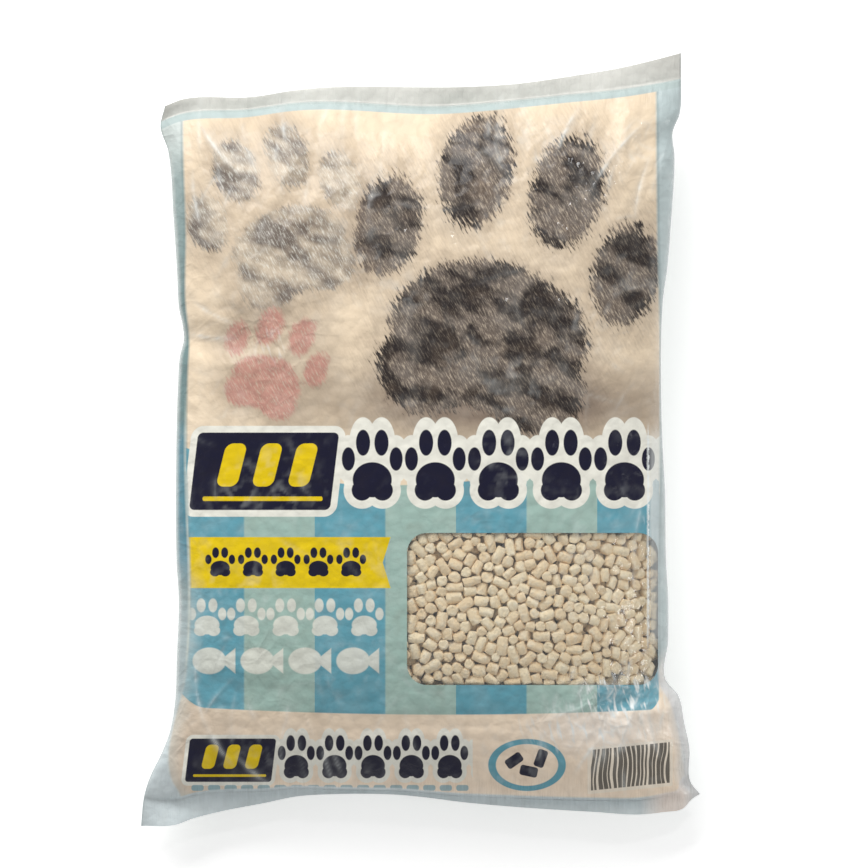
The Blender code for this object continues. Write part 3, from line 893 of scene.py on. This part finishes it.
def paint_picture(paint, colour):
    """The upper picture: big furry paw prints in banded greys, a pale and a pink one."""
    x = paint.x
    y = paint.y
    shade = distance_oval(x, y, *PICTURE_SHADE)
    colour = paint.mix(colour, SOFT_SHADE, inside(shade, 24.0) * 0.85)
    strands = paint.vector(x * 0.55 + y * 0.3, y * 0.1 - x * 0.06)
    ragged = paint.noise(strands, 1.3, 2.0, 0.6).scaled(13.0, -6.5)
    broad = paint.noise(paint.vector(x, y), 0.035).scaled(18.0, -9.0)
    bands = paint.noise(paint.vector(x * 0.045 + y * 0.045 + broad * 0.035,
                                     y * 0.045 - x * 0.015 - broad * 0.03), 1.0, 2.0, 0.55)
    mottle = bands.clamped(6.0, -2.5)
    hairs = paint.noise(strands, 1.7, 3.0, 0.7)
    fine = hairs.clamped(4.0, -2.0)
    dark = hairs.clamped(-4.6, 2.0)
    fur = paint.layers(CHARCOAL, (FUR_GREY, mottle),
                       (FUR_LIGHT, fine * mottle.scaled(0.55, 0.25)), (CHARCOAL, dark * 0.8))
    pale = paint.layers(FUR_GREY, (FUR_LIGHT, bands.clamped(3.4, -1.2)),
                        (WHITE, fine * 0.65), (FUR_GREY, dark * 0.45))
    blush = paint.layers(PINK, (FUR_LIGHT, fine * 0.9), (FUR_GREY, dark * 0.3))
    for place, coat in zip(PICTURE_PAWS, (fur, pale, blush)):
        middle_x, middle_y, size, degrees = place
        across, up = turned(x + broad * 0.25, y + broad * 0.2, middle_x, middle_y, degrees)
        paw = distance_paw(across, up, size) + ragged * (size / 138.0)
        colour = paint.layers(colour, (SOFT_SHADE, inside(paw - 5.0, 18.0) * 0.5),
                              (coat, inside(paw, 2.4)))
    return colour


def row_place(x, left, pitch):
    """Place within its cell, from -0.5 to 0.5 pitch, in a row that starts at left."""
    return (((x - left) / pitch).node("FRACT") - 0.5) * pitch


def within(shape, x, left, right):
    """A shape cut off outside left and right."""
    return shape.most(distance_strip(x, 0.5 * (left + right), 0.5 * (right - left)))


def distance_fish(x, y, size):
    """A plain fish: an oval body and a wedge of a tail."""
    body = distance_oval(x, y, -0.1 * size, 0.0, 0.36 * size, 0.22 * size)
    flare = y.node("ABSOLUTE") - (x - 0.12 * size) * 0.62
    return body.least(flare.most(x - 0.46 * size) * 0.85)


def mark_row(paint, shape, row, stretch=1.0):
    """A row of one shape, repeated at its pitch."""
    left, right, pitch, middle, size = row
    return within(shape(row_place(paint.x, left, pitch), (paint.y - middle) / stretch, size),
                  paint.x, left, right)


def paint_emblem_row(paint, colour, left, right, low, high):
    """A navy plaque with yellow bars and a rule, then five navy paw prints, on white."""
    x = paint.x
    y = paint.y
    tall = high - low
    wide = PLAQUE_SHARE * (right - left)
    plaque_right = left + wide
    top = high - 0.14 * tall
    plaque = distance_box(x - (y - low) * 0.12, y, left, plaque_right - 0.12 * tall, low,
                          top, 0.06 * tall)
    pitch = (right - plaque_right) / EMBLEM_PAWS
    row = (plaque_right, right, pitch, low + 0.48 * tall, 0.86 * pitch)
    paws = mark_row(paint, distance_paw, row, PAW_STRETCH)
    both = plaque.least(paws)
    colour = paint.layers(colour, (WHITE, inside(both - 0.075 * tall)), (NAVY, inside(both)))
    start = left + 0.09 * wide
    rule = distance_box(x, y, start, plaque_right - 0.12 * wide, low + 0.1 * tall,
                        low + 0.15 * tall, 0.02 * tall)
    slanted = x - (y - low) * 0.25
    pitch = 0.235 * wide
    bars = distance_box(row_place(slanted, start, pitch), y, -0.07 * wide, 0.07 * wide,
                        low + 0.26 * tall, top - 0.12 * tall, 0.05 * wide)
    bars = within(bars, slanted, start, start + PLAQUE_BARS * pitch)
    return paint.mix(colour, YELLOW, inside(rule.least(bars)))


def paint_stripes(paint, colour):
    """Teal stripes between two curved limits."""
    x = paint.x
    y = paint.y
    stripe = ((x - STRIPE_FIRST) / (2.0 * STRIPE_PITCH)).node("FRACT") - 0.5
    stripes = paint.mix(TEAL_LIGHT, TEAL, inside(stripe * STRIPE_PITCH, 0.5))
    left_dip = (x + 20.0).least(0.0)
    right_dip = (x + 20.0).most(0.0)
    top_line = left_dip * left_dip * 0.00161 + right_dip * right_dip * 0.00109 + STRIPE_TOP
    left_end = (x * -1.0 - 125.0).most(0.0)
    right_end = (x - 132.6).most(0.0)
    ends = left_end * left_end * 0.04 + right_end * right_end * 0.2
    low_line = (x - 15.0) * (x - 15.0) * 0.0002 + ends + STRIPE_LOW
    cut = outside(y + 137.0, 3.0).scaled(5.0, 138.0)
    zone = (y - top_line).most(low_line - y).most(x - cut)
    # Painted highlight along the right crease, laid over the stripes
    fold_highlight = outside(x - 132.4, 1.2) * outside(y + 126.0, 14.0)
    stripes = paint.mix(stripes, BAND_RIGHT, fold_highlight * 0.75)
    return paint.mix(colour, stripes, inside(zone, 0.6))


def paint_claims(paint, colour):
    """The yellow ribbon with its row of marks, and two rows of pale icons below it."""
    notch = paint.x + distance_strip(paint.y, RIBBON_PAWS[3], 0.0) * -0.31 + 22.2
    ribbon = distance_box(paint.x, paint.y, *RIBBON, 0.4).most(notch)
    marks = mark_row(paint, distance_paw, RIBBON_PAWS)
    icons = mark_row(paint, distance_paw, PALE_PAWS).least(
        mark_row(paint, distance_fish, PALE_FISH, FISH_STRETCH))
    return paint.layers(colour, (YELLOW, inside(ribbon)), (NAVY, inside(marks)),
                        (PALE_INK, inside(icons, 0.5) * 0.9))


def paint_small_print(paint, colour):
    """Along the bottom: a broken line, a ring with three pellets, and made-up bars."""
    x = paint.x
    y = paint.y
    ring = distance_oval(x, y, *RING).node("ABSOLUTE") - RING_HALF
    colour = paint.mix(colour, TEAL, inside(ring))
    for pellet in RING_PELLETS:
        shape = distance_box(*turned(x, y, *pellet), *RING_PELLET)
        colour = paint.mix(colour, NAVY, inside(shape))
    line = distance_box(row_place(x, LINE_LEFT, LINE_PITCH), y, *LINE_DASH)
    line = within(line, x, LINE_LEFT, LINE_RIGHT)
    slant = y - (x - BARS[0]) * BAR_SLOPE
    count = (x - BARS[0] - paint.baked("bend") * 0.35) / BAR_PITCH
    column = count.node("FLOOR")
    chance = paint.add("TexWhiteNoise", noise_dimensions="1D")
    plug(paint.tree, chance.inputs["W"], column)
    least, spread = BAR_DARK
    share = Field(paint.tree, chance.outputs["Value"]).scaled(spread, least)
    dark = inside((count - column - share) * BAR_PITCH, 0.2)
    ground = inside(distance_box(x, slant, *BARS_GROUND, 1.0))
    bars = inside(distance_box(x, slant, *BARS, 0.1))
    return paint.layers(colour, (TEAL, inside(line) * 0.75),
                        (WHITE, ground * 0.4), (BLACK, bars * dark))


def paint_borders(paint, colour):
    """Greyish bands along both sides, the pale seals, and the strip below the top one, with
    painted highlights along the outline, on the left crease and by the left fold.
    """
    x = paint.x
    y = paint.y
    band = paint.baked("band")
    edge = paint.baked("side")
    past_top = paint.baked("past_top")
    past_low = paint.baked("past_low")
    right = paint.mix(BAND_RIGHT, BAND_LOW, inside(y + 132.0, 24.0))
    # Low on the left the line along the band is light: a painted highlight on the crease there
    lifted = inside(y - 20.0, 30.0) * inside(x)
    line = paint.mix(SIDE_LINE, SIDE_LINE_LOW, lifted)
    fainter = inside(y + 128.0, 12.0).scaled(-0.8, 1.0)
    along_line = inside(distance_strip(band, 0.8, 0.7), 1.2)
    # The bands lighter along the outline with a painted highlight, and paler towards the top
    side = paint.layers(BAND_GREY,
                        (BAND_BLUE, inside(distance_strip(y, -36.0, 42.0), 16.0)),
                        (BAND_PALE_AND_SHEEN, inside(edge - 1.6, 1.6) * 0.45),
                        (SEAL_LOW, inside(y + 80.0, 50.0) * 0.5),
                        (SEAL_LOW, inside(y + 152.0, 22.0)),
                        (BAND_PALE_AND_SHEEN, outside(y - 130.0, 150.0) * 0.6),
                        (BAND_PALE_AND_SHEEN, outside(y - 164.0, 26.0)),
                        (right, outside(x, 1.0)),
                        (line, along_line * lifted.scaled(0.2, 0.4) * fainter))
    # Painted sheen over the stripes beside the left fold, low down
    left_fold_sheen = outside(band + 5.0, 7.0) * inside(y + 84.0, 24.0) * inside(x)
    low = paint.mix(SEAL_LOW, BAND_LOW, outside(x - 134.0, 14.0))
    rim = edge.least(60.0)
    flap = inside(rim - 7.0, 6.0) * outside(x - 120.0, 8.0) * inside(y + 138.0, 10.0)
    return paint.layers(colour, (BAND_PALE_AND_SHEEN, left_fold_sheen * 0.42), (side, outside(band, 1.6)),
                        (SEAL_STRIP, outside(past_top + 4.6, 0.6)),
                        (SEAL_GREY, outside(past_top, 1.0)),
                        (low, outside(past_low + 1.5, 1.0)), (FLAP_GREY, flap * 0.6),
                        (RIM_SHADE, inside(rim - 0.6, 1.2) * 0.5))


def paint_print(paint):
    """The whole front print, from its ground up."""
    x = paint.x
    y = paint.y
    # Painted sheen over the crumpled low right, and painted shade at the low left corner
    whitening_and_sheen = distance_oval(x, y, *SHEEN_LOW_OVAL)
    shaded = inside(x + 112.0, 30.0) * inside(y + 140.0, 10.0)
    ground = paint.layers(CREAM, (CREAM_LOW, inside(y + 150.0, 60.0)),
                          (SOFT_SHADE, shaded * 0.24), (SHEEN_CREAM, inside(whitening_and_sheen, 16.0) * 0.75))
    colour = paint_picture(paint, ground)
    colour = paint.mix(colour, ground, inside(y - PICTURE_LOW, 5.0))
    colour = paint_stripes(paint, colour)
    tint = paint.noise(paint.place, 46.0, 2.0, 0.6)
    colour = paint.layers(colour, (PALE_TINT, tint.clamped(1.6, -0.76) * 0.16),
                          (DARK_TINT, tint.clamped(-1.8, 0.78) * 0.4))
    colour = paint_emblem_row(paint, colour, *EMBLEM_ROW)
    colour = paint_emblem_row(paint, colour, *STRIP_ROW)
    colour = paint_claims(paint, colour)
    colour = paint_small_print(paint, colour)
    return paint_borders(paint, colour)


def film_relief(paint, strength):
    """A normal with creases, pellet marks and seal pleats, finer than the mesh, and the
    masks of the whitened crease lines with painted glare, glints and sheen, and of the
    painted shade in the hollows between pellets."""
    x = paint.x
    y = paint.y
    place = paint.vector(x, y, paint.z)
    bend = paint.baked("bend")
    bent = paint.vector(x + bend, y - bend * 0.8, paint.z)
    lines = paint.cells(bent, 0.085, "DISTANCE_TO_EDGE").clamped(-7.0, 1.0)
    facets = paint.cells(bent, 0.23, "F1")
    fine = paint.noise(place, 0.42, 2.0, 0.6)
    lumps = paint.cells(place, 0.15, "F1")
    pleats = paint.noise(paint.vector(x, y * 0.12), 0.55, 2.0, 0.6)
    at_seal = y.node("ABSOLUTE").clamped(0.1, -18.6)
    strength = strength * at_seal.scaled(-0.85, 1.0)
    normal = paint.bump(lines * strength, 0.0004, 0.7)
    normal = paint.bump(facets * strength * strength, 0.0009, 0.6, normal)
    normal = paint.bump(lumps * -1.0, 0.0009, 0.5, normal)
    normal = paint.bump(fine, 0.00024, 0.8, normal)
    flap = outside(x - 139.0, 6.0) * inside(y + 140.0, 10.0)
    normal = paint.bump(pleats * at_seal.most(flap * 1.6), 0.0005, 0.7, normal)
    # Painted highlights: glare and whitened crease lines where the film is crumpled, glints
    # along the right pleat, and sheen on the strip beside it
    lower = inside(distance_oval(x, y, *GLARE_OVAL), 14.0)
    most = strength.clamped(4.0, -2.8).most(lower * 0.9)
    glare = paint.noise(paint.vector(x * 0.55 + y * 0.14, y * 0.13 - x * 0.05), 0.75, 1.0)
    glare = glare.clamped(4.5, -2.4) * most
    run = distance_strip(y, *PLEAT_RUN).clamped(-0.1, 0.5)
    glints = fine.clamped(7.0, -3.2).clamped(0.4, 0.7)
    streak = inside(distance_strip(x - fine * 1.6, *PLEAT_HIGHLIGHT), 0.8) * run * glints
    beside = inside(distance_strip(x, *PALE_SHEEN_STRIP), 3.0) * run * 0.36
    broken = paint.baked("broken")
    webbed = lines * (most * broken * broken) * 0.7
    white = webbed.most(glare).most(streak.most(beside)).most(paint.baked("whitening_and_sheen") * 0.7)
    return normal, fine, white, lumps.clamped(1.1, -0.35)


def glossy(paint, colour, fine, normal, coat, level):
    """Film with a coat of gloss, a little rougher here and there."""
    return paint.principled(colour, fine.scaled(0.14, 0.17), normal, Coat_Weight=coat,
                            Coat_Roughness=0.06, Specular_IOR_Level=level)


def printed_film(name):
    """Print under gloss, with fine relief, painted shade in the hollows and painted highlights
    on the creases.
    """
    paint = Paint(name, "2D")
    colour = paint_print(paint)
    normal, fine, white, hollow = film_relief(paint, paint.baked("crinkle"))
    colour = paint.layers(colour, (HOLLOW_SHADE, hollow * 0.14), (STRESS_WHITE_AND_SHEEN, white * 0.95))
    return paint, glossy(paint, colour, fine, normal, *FRONT_GLOSS), normal, white


def finish_opaque():
    """The printed film as it is beside the window."""
    paint, shader = printed_film("printed_film")[:2]
    return paint.show(shader)


def finish_window():
    """The same film with its ink left out inside the window's rounded outline, and white over
    the clear film where creases are whitened and highlights are painted.
    """
    paint, shader, normal, white = printed_film("window_film")
    clear = paint.add("BsdfTransparent", {"Color": CLEAR_FILM})
    gloss = paint.add("BsdfGlossy", {"Roughness": 0.12, "Normal": normal})
    edge = paint.add("LayerWeight", {"Normal": normal})
    facing = Field(paint.tree, edge.outputs["Facing"]).node("POWER", 5.0)
    film = paint.blend(facing.scaled(0.95, 0.045), clear, gloss)
    white_sheen = paint.add("BsdfDiffuse", {"Color": STRESS_WHITE_AND_SHEEN, "Normal": normal})
    film = paint.blend((white * 0.88).node("ADD", 0.03), film, white_sheen)
    hole = distance_box(paint.x, paint.y, WINDOW_LEFT, WINDOW_RIGHT,
                        WINDOW_MIDDLE - HALF_WINDOW, WINDOW_MIDDLE + HALF_WINDOW,
                        WINDOW_CORNER)
    return paint.show(paint.blend(inside(hole), shader, film))


def finish_back():
    """The back film: plain pale teal with the same gloss and creases, and the same painted
    highlights on them.
    """
    paint = Paint("back_film")
    normal, fine, white = film_relief(paint, paint.baked("crinkle"))[:3]
    tint = paint.noise(paint.place, 30.0, 3.0)
    colour = paint.layers(TEAL_LIGHT, (SEAL_GREY, tint), (STRESS_WHITE_AND_SHEEN, white * 0.6))
    return paint.show(glossy(paint, colour, fine, normal, *BACK_GLOSS))


def finish_pellets():
    """Matt pressed pulp: cream, a little different from pellet to pellet, and darker with
    painted shade deeper down.
    """
    paint = Paint("pulp_pellets")
    grain = paint.noise(paint.place, 620.0, 3.0, 0.7)
    blotch = paint.noise(paint.place, 260.0)
    colour = paint.layers(PULP_DEEP, (PULP_LIGHT, paint.baked("tone")),
                          (PULP_PALE, blotch.clamped(2.0, -0.9)),
                          (PULP_GRAIN, grain.clamped(-3.0, 1.3) * 0.5),
                          (PULP_SHADE, paint.baked("depth")))
    normal = paint.bump(grain, 0.0012, 1.0)
    normal = paint.bump(blotch, 0.0016, 0.8, normal)
    return paint.show(paint.principled(colour, grain.scaled(0.2, 0.75), normal,
                                       Specular_IOR_Level=0.25))


# Pellets: how many to a layer, ranges of radius and length, and their mesh
PELLET_COUNT = 342
PELLET_RADIUS = (2.75, 3.5)
PELLET_LENGTH = (5.4, 11.2)
PELLET_SIDES = 14
PELLET_RINGS = 7
PELLET_EDGE = 0.55
SHAPE_SEED = 3

# Layers of pellets: depths under the film, least depth, gaps from the bag's right edge, and
# painted shade of the lower layer
LAYER_DEPTHS = (1.1, 6.2)
LEAST_DEPTH = 1.0
RIM_GAP = 3.2
EDGE_GAPS = (2.6, 7.5)
LAYER_SHADE = 0.3
LAYER_SEED = 61

# How a pellet lies: share that stand on end, and spread of tilt and depth
STANDING_SHARE = 0.33
STANDING_TILT = 0.22
LYING_TILT = 0.09
DEPTH_SPREAD = 0.5

# Packing: margins past the window, rounds, and how near neighbours are looked for
PACK_MARGINS = (4.0, 5.0)
RELAX_ROUNDS = 220
NEIGHBOURS_EVERY = 20
NEIGHBOUR_REACH = 14.0

# Bed below the layers: depth, mesh, margins past the window, and colour, which is painted shade
BED_DEPTH = 11.5
BED_COLUMNS = 40
BED_ROWS = 24
BED_MARGIN = 8.0
BED_MARGIN_RIGHT = 5.0
BED_TONE = 0.2
BED_SHADE = 0.95

# Measuring over the film along the window's middle line, and the film's slope
MIDDLE_ARC = WINDOW_WIDTH / 2.0
ARC_MARGIN = 12.0
ARC_STEP = 0.25
SLOPE_STEP = 1.5


def arc_table():
    """Plan x against length over the film along the window's middle line."""
    edge = float(right_x(np.array(WINDOW_MIDDLE)))
    x = np.arange(WINDOW_LEFT - ARC_MARGIN, edge - 1.0, ARC_STEP)
    y = np.full_like(x, WINDOW_MIDDLE)
    z = front_height(place_across(x, y), y)
    run = np.concatenate(([0.0], np.cumsum(np.hypot(np.diff(x), np.diff(z)))))
    return x, run - np.interp(WINDOW_LEFT, x, run)


ARC_X, ARC_RUN = arc_table()


def under_film(a, b, depth):
    """Points at a depth under the film, a across over the film and b along."""
    y = WINDOW_MIDDLE + b
    x = np.minimum(np.interp(a + MIDDLE_ARC, ARC_RUN, ARC_X), right_x(y) - RIM_GAP)

    def plain(px, py):
        q = place_across(px, py)
        return np.stack([px, py, plain_height(q, py)], axis=-1)

    across = plain(x + SLOPE_STEP, y) - plain(x - SLOPE_STEP, y)
    along = plain(x, y + SLOPE_STEP) - plain(x, y - SLOPE_STEP)
    normal = np.cross(across, along)
    normal /= np.linalg.norm(normal, axis=-1, keepdims=True)
    here = np.stack([x, y, front_height(place_across(x, y), y)], axis=-1)
    return here - normal * np.asarray(depth)[..., None]


def pack_layer(seed, count):
    """Places and headings of pellets that are pushed apart until they hardly overlap."""
    rng = np.random.RandomState(seed)
    half_a = MIDDLE_ARC + PACK_MARGINS[0]
    half_b = HALF_WINDOW + PACK_MARGINS[1]
    radius = rng.uniform(*PELLET_RADIUS, count)
    length = rng.uniform(*PELLET_LENGTH, count)
    standing = rng.rand(count) < STANDING_SHARE
    arm = np.where(standing, 0.0, np.maximum(0.0, length / 2.0 - radius * 0.8))
    spot = np.stack([rng.uniform(-half_a, half_a, count),
                     rng.uniform(-half_b, half_b, count)], axis=1)
    turn = rng.uniform(0.0, math.pi, count)
    size = np.tile(radius, 3) * 0.98
    owner = np.tile(np.arange(count), 3)
    for step in range(RELAX_ROUNDS):
        heading = np.stack([np.cos(turn), np.sin(turn)], axis=1)
        reach = heading * arm[:, None]
        discs = np.concatenate([spot - reach, spot, spot + reach])
        if step % NEIGHBOURS_EVERY == 0:
            far = np.linalg.norm(discs[:, None, :] - discs[None, :, :], axis=2)
            one, other = np.nonzero((far < NEIGHBOUR_REACH)
                                    & (owner[:, None] != owner[None, :]))
        apart = discs[one] - discs[other]
        gap = np.maximum(0.01, np.linalg.norm(apart, axis=1))
        close = np.maximum(0.0, size[one] + size[other] - gap) * 0.16 / gap
        push = np.stack([np.bincount(one, close * apart[:, 0], 3 * count),
                         np.bincount(one, close * apart[:, 1], 3 * count)], axis=1)
        first = push[:count]
        last = push[2 * count:]
        spin = (reach[:, 0] * (last[:, 1] - first[:, 1])
                - reach[:, 1] * (last[:, 0] - first[:, 0]))
        spot += first + push[count:2 * count] + last
        turn += np.clip(spin / (4.0 + arm ** 2), -0.3, 0.3)
        spot[:, 0] = np.clip(spot[:, 0], -half_a, half_a)
        spot[:, 1] = np.clip(spot[:, 1], -half_b, half_b)
    return spot, turn, radius, length, standing


def pellet_points(rng, radius, length):
    """One rough pellet about its own axis: rings of points from end to end."""
    slant = rng.normal(0.0, 0.13, 2)
    swing = rng.uniform(0.0, 2.0 * math.pi, 2)
    angles = np.linspace(0.0, 2.0 * math.pi, PELLET_SIDES, endpoint=False)
    lobes = (1.0 + 0.05 * np.cos(2 * angles + swing[0]) + 0.04 * np.cos(3 * angles + swing[1])
             + rng.normal(0.0, 0.055, PELLET_SIDES))
    inset = 0.5 - PELLET_EDGE / length
    rings = [(-0.5, 0.45), (-0.5, 0.84), (-inset, 1.0), (0.0, 1.03), (inset, 1.0),
             (0.5, 0.84), (0.5, 0.45)]
    points = []
    for share, wide in rings:
        end = 0 if share < 0 else 1
        lean = slant[end] * np.cos(angles + swing[end]) * radius * wide * abs(share) * 2.0
        around = radius * wide * lobes * (1.0 + rng.normal(0.0, 0.05, PELLET_SIDES))
        ragged = rng.normal(0.0, 0.14, PELLET_SIDES) * (wide > 0.6)
        points.append(np.stack([share * length + lean + ragged, around * np.cos(angles),
                                around * np.sin(angles)], axis=1))
    dish = rng.uniform(-0.1, 0.25, 2)
    points.append(np.array([[-0.5 * length + dish[0], 0.0, 0.0],
                            [0.5 * length - dish[1], 0.0, 0.0]]))
    return np.concatenate(points)


def pellet_faces(first):
    """Faces between the rings, and round the middle of each end."""
    faces = []
    last = first + (PELLET_RINGS - 1) * PELLET_SIDES
    for low in range(first, last, PELLET_SIDES):
        high = low + PELLET_SIDES
        for k in range(PELLET_SIDES):
            after = (k + 1) % PELLET_SIDES
            faces.append((low + k, low + after, high + after, high + k))
    tip = last + PELLET_SIDES
    for k in range(PELLET_SIDES):
        after = (k + 1) % PELLET_SIDES
        faces.append((tip, first + after, first + k))
        faces.append((tip + 1, last + k, last + after))
    return faces


def lay_pellet(rng, shape, standing, radius, length):
    """A pellet as it lies or stands: places along, across and down from its layer."""
    if standing:
        tilt = rng.normal(0.0, STANDING_TILT)
        shape = shape[:, [1, 2, 0]]
        middle = length / 2.0
    else:
        tilt = rng.normal(0.0, LYING_TILT)
        middle = radius
    middle += abs(rng.normal(0.0, DEPTH_SPREAD))
    along = shape[:, 0] * math.cos(tilt) - shape[:, 2] * math.sin(tilt)
    up = shape[:, 0] * math.sin(tilt) + shape[:, 2] * math.cos(tilt)
    return along, shape[:, 1], middle - up


def make_pellets():
    """Two layers of pellets under the window, and a dark bed below them that stands in for the
    shade deeper down.
    """
    rng = np.random.RandomState(SHAPE_SEED)
    clouds = []
    faces = []
    tones = []
    depths = []
    first = 0
    for layer, top in enumerate(LAYER_DEPTHS):
        packed = pack_layer(LAYER_SEED + layer, PELLET_COUNT)
        for spot, turn, radius, length, standing in zip(*packed):
            shape = pellet_points(rng, radius, length)
            edge_x = right_x(np.array(WINDOW_MIDDLE + spot[1]))
            if np.interp(spot[0] + MIDDLE_ARC, ARC_RUN, ARC_X) > edge_x - EDGE_GAPS[layer]:
                continue
            along, across, down = lay_pellet(rng, shape, standing, radius, length)
            a = spot[0] + along * math.cos(turn) - across * math.sin(turn)
            b = spot[1] + along * math.sin(turn) + across * math.cos(turn)
            past = np.maximum(np.abs(a) - MIDDLE_ARC, np.abs(b) - HALF_WINDOW)
            sunk = 0.8 * np.clip(past, 0.0, 4.0)
            clouds.append(under_film(a, b, np.maximum(LEAST_DEPTH, top + down) + sunk))
            faces.extend(pellet_faces(first))
            first += len(shape)
            tones.extend([rng.rand()] * len(shape))
            depths.extend([LAYER_SHADE * layer] * len(shape))
    reach_a = np.linspace(-MIDDLE_ARC - BED_MARGIN, MIDDLE_ARC + BED_MARGIN_RIGHT,
                          BED_COLUMNS)
    reach_b = np.linspace(-HALF_WINDOW - BED_MARGIN, HALF_WINDOW + BED_MARGIN, BED_ROWS)
    a, b = np.meshgrid(reach_a, reach_b, indexing="ij")
    bed = under_film(a, b, np.full_like(a, BED_DEPTH))
    numbers = first + np.arange(a.size).reshape(a.shape)
    faces.extend(grid_corners(numbers).reshape(-1, 4).tolist())
    clouds.append(bed.reshape(-1, 3))
    tones.extend([BED_TONE] * a.size)
    depths.extend([BED_SHADE] * a.size)
    thing = mesh_object("litter", np.concatenate(clouds), faces)
    keep_value(thing, "tone", tones)
    keep_value(thing, "depth", depths)
    thing.data.materials.append(finish_pellets())
    return thing


def make_film():
    """Front film in two pieces that share one grid, the second one over the window."""
    sheet = front_sheet(FRONT_COLUMNS, FRONT_ROWS)
    middle = grid_corners(sheet).mean(axis=2)
    over = ((middle[:, :, 0] > WINDOW_LEFT - WINDOW_MARGIN)
            & (middle[:, :, 0] < WINDOW_RIGHT + 0.5 * WINDOW_MARGIN)
            & (np.abs(middle[:, :, 1] - WINDOW_MIDDLE) < HALF_WINDOW + WINDOW_MARGIN))
    marks = front_marks(sheet)
    front = sheet_object("printed_front", sheet, True, ~over, marks)
    front.data.materials.append(finish_opaque())
    window = sheet_object("window", sheet, True, over, marks)
    window.data.materials.append(finish_window())
    rear = back_sheet(BACK_COLUMNS, BACK_ROWS)
    whole = np.ones((rear.shape[0] - 1, rear.shape[1] - 1), bool)
    back = sheet_object("back", rear, False, whole, relief_marks(rear))
    back.data.materials.append(finish_back())
    return front, window, back


# Lamps: place, size and power
LAMPS = {"key": ((-0.6, 1.4, 1.1), (1.5, 1.0), 29.0),
         "side": ((1.15, -0.35, 0.5), (0.15, 0.5), 2.5),
         "spark": ((0.5, 0.75, 1.5), (0.1, 0.1), 1.6)}
LAMP_TARGET = Vector((0.0, 0.0, 0.03))

# Floor in metres: its size, and how far below the bag it lies
FLOOR_SIZE = 6.0
FLOOR_DROP = 0.0004

# Light of the floor for the rays that show it, and light of the world: how much more
# those rays get, and what all rays get
FLOOR_LIFT = 0.42
WORLD_GLOW = (0.57, 0.43)


def seen_rays(tree):
    """1 for the rays that show a surface, 0 for those that only light it."""
    ray = add_node(tree, "LightPath", {}).outputs
    camera, gloss, clear = (Field(tree, ray["Is %s Ray" % kind])
                            for kind in ("Camera", "Glossy", "Transmission"))
    return camera.most(gloss).most(clear)


def make_floor():
    """A plain white floor, a hair below the bag."""
    bpy.ops.mesh.primitive_plane_add(size=FLOOR_SIZE, location=(0.0, 0.0, -FLOOR_DROP))
    floor = bpy.context.object
    floor.name = "floor"
    paint = Paint("floor")
    plain = paint.add("BsdfDiffuse", {"Color": FLOOR_WHITE})
    lift = paint.add("Emission", {"Strength": seen_rays(paint.tree) * FLOOR_LIFT})
    both = paint.add("AddShader", {0: plain.outputs[0], 1: lift.outputs[0]})
    floor.data.materials.append(paint.show(both))


def add_lamp(name, place, size, power):
    """A rectangular lamp that shines at the bag."""
    data = bpy.data.lights.new(name, "AREA")
    data.shape = "RECTANGLE"
    data.size, data.size_y = size
    data.energy = power
    lamp = bpy.data.objects.new(name, data)
    bpy.context.scene.collection.objects.link(lamp)
    lamp.location = place
    lamp.rotation_euler = (LAMP_TARGET - lamp.location).to_track_quat("-Z", "Y").to_euler()


def light_scene():
    for name, lamp in LAMPS.items():
        add_lamp(name, *lamp)
    world = bpy.data.worlds.new("studio")
    bpy.context.scene.world = world
    world.use_nodes = True
    tree = world.node_tree
    tree.nodes.clear()
    glow = add_node(tree, "Background", {"Color": (1.0, 1.0, 1.0, 1.0),
                                         "Strength": seen_rays(tree).scaled(*WORLD_GLOW)})
    add_node(tree, "OutputWorld", {"Surface": glow.outputs[0]})


def make_camera():
    """Straight above the bag, framed as the photograph is."""
    data = bpy.data.cameras.new("camera")
    data.type = "ORTHO"
    data.ortho_scale = PHOTO_SIDE * PHOTO_PIXEL * MM
    camera = bpy.data.objects.new("camera", data)
    bpy.context.scene.collection.objects.link(camera)
    half = PHOTO_SIDE / 2.0
    camera.location = (((half - PHOTO_MIDDLE[0]) * PHOTO_PIXEL - ORIGIN_X) * MM,
                       ((PHOTO_MIDDLE[1] - half) * PHOTO_PIXEL - ORIGIN_Y) * MM,
                       CAMERA_HEIGHT)
    bpy.context.scene.camera = camera


front, window, back = make_film()
litter = make_pellets()
for piece, material_slot in ((front, "printed_film"), (back, "printed_film"),
                             (window, "clear_film"), (litter, "pulp_pellets")):
    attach(piece, "root")
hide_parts("film_bag")
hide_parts("window_film")
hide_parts("litter_pellets")

make_floor()
light_scene()
make_camera()
bpy.context.scene.view_settings.view_transform = "Standard"
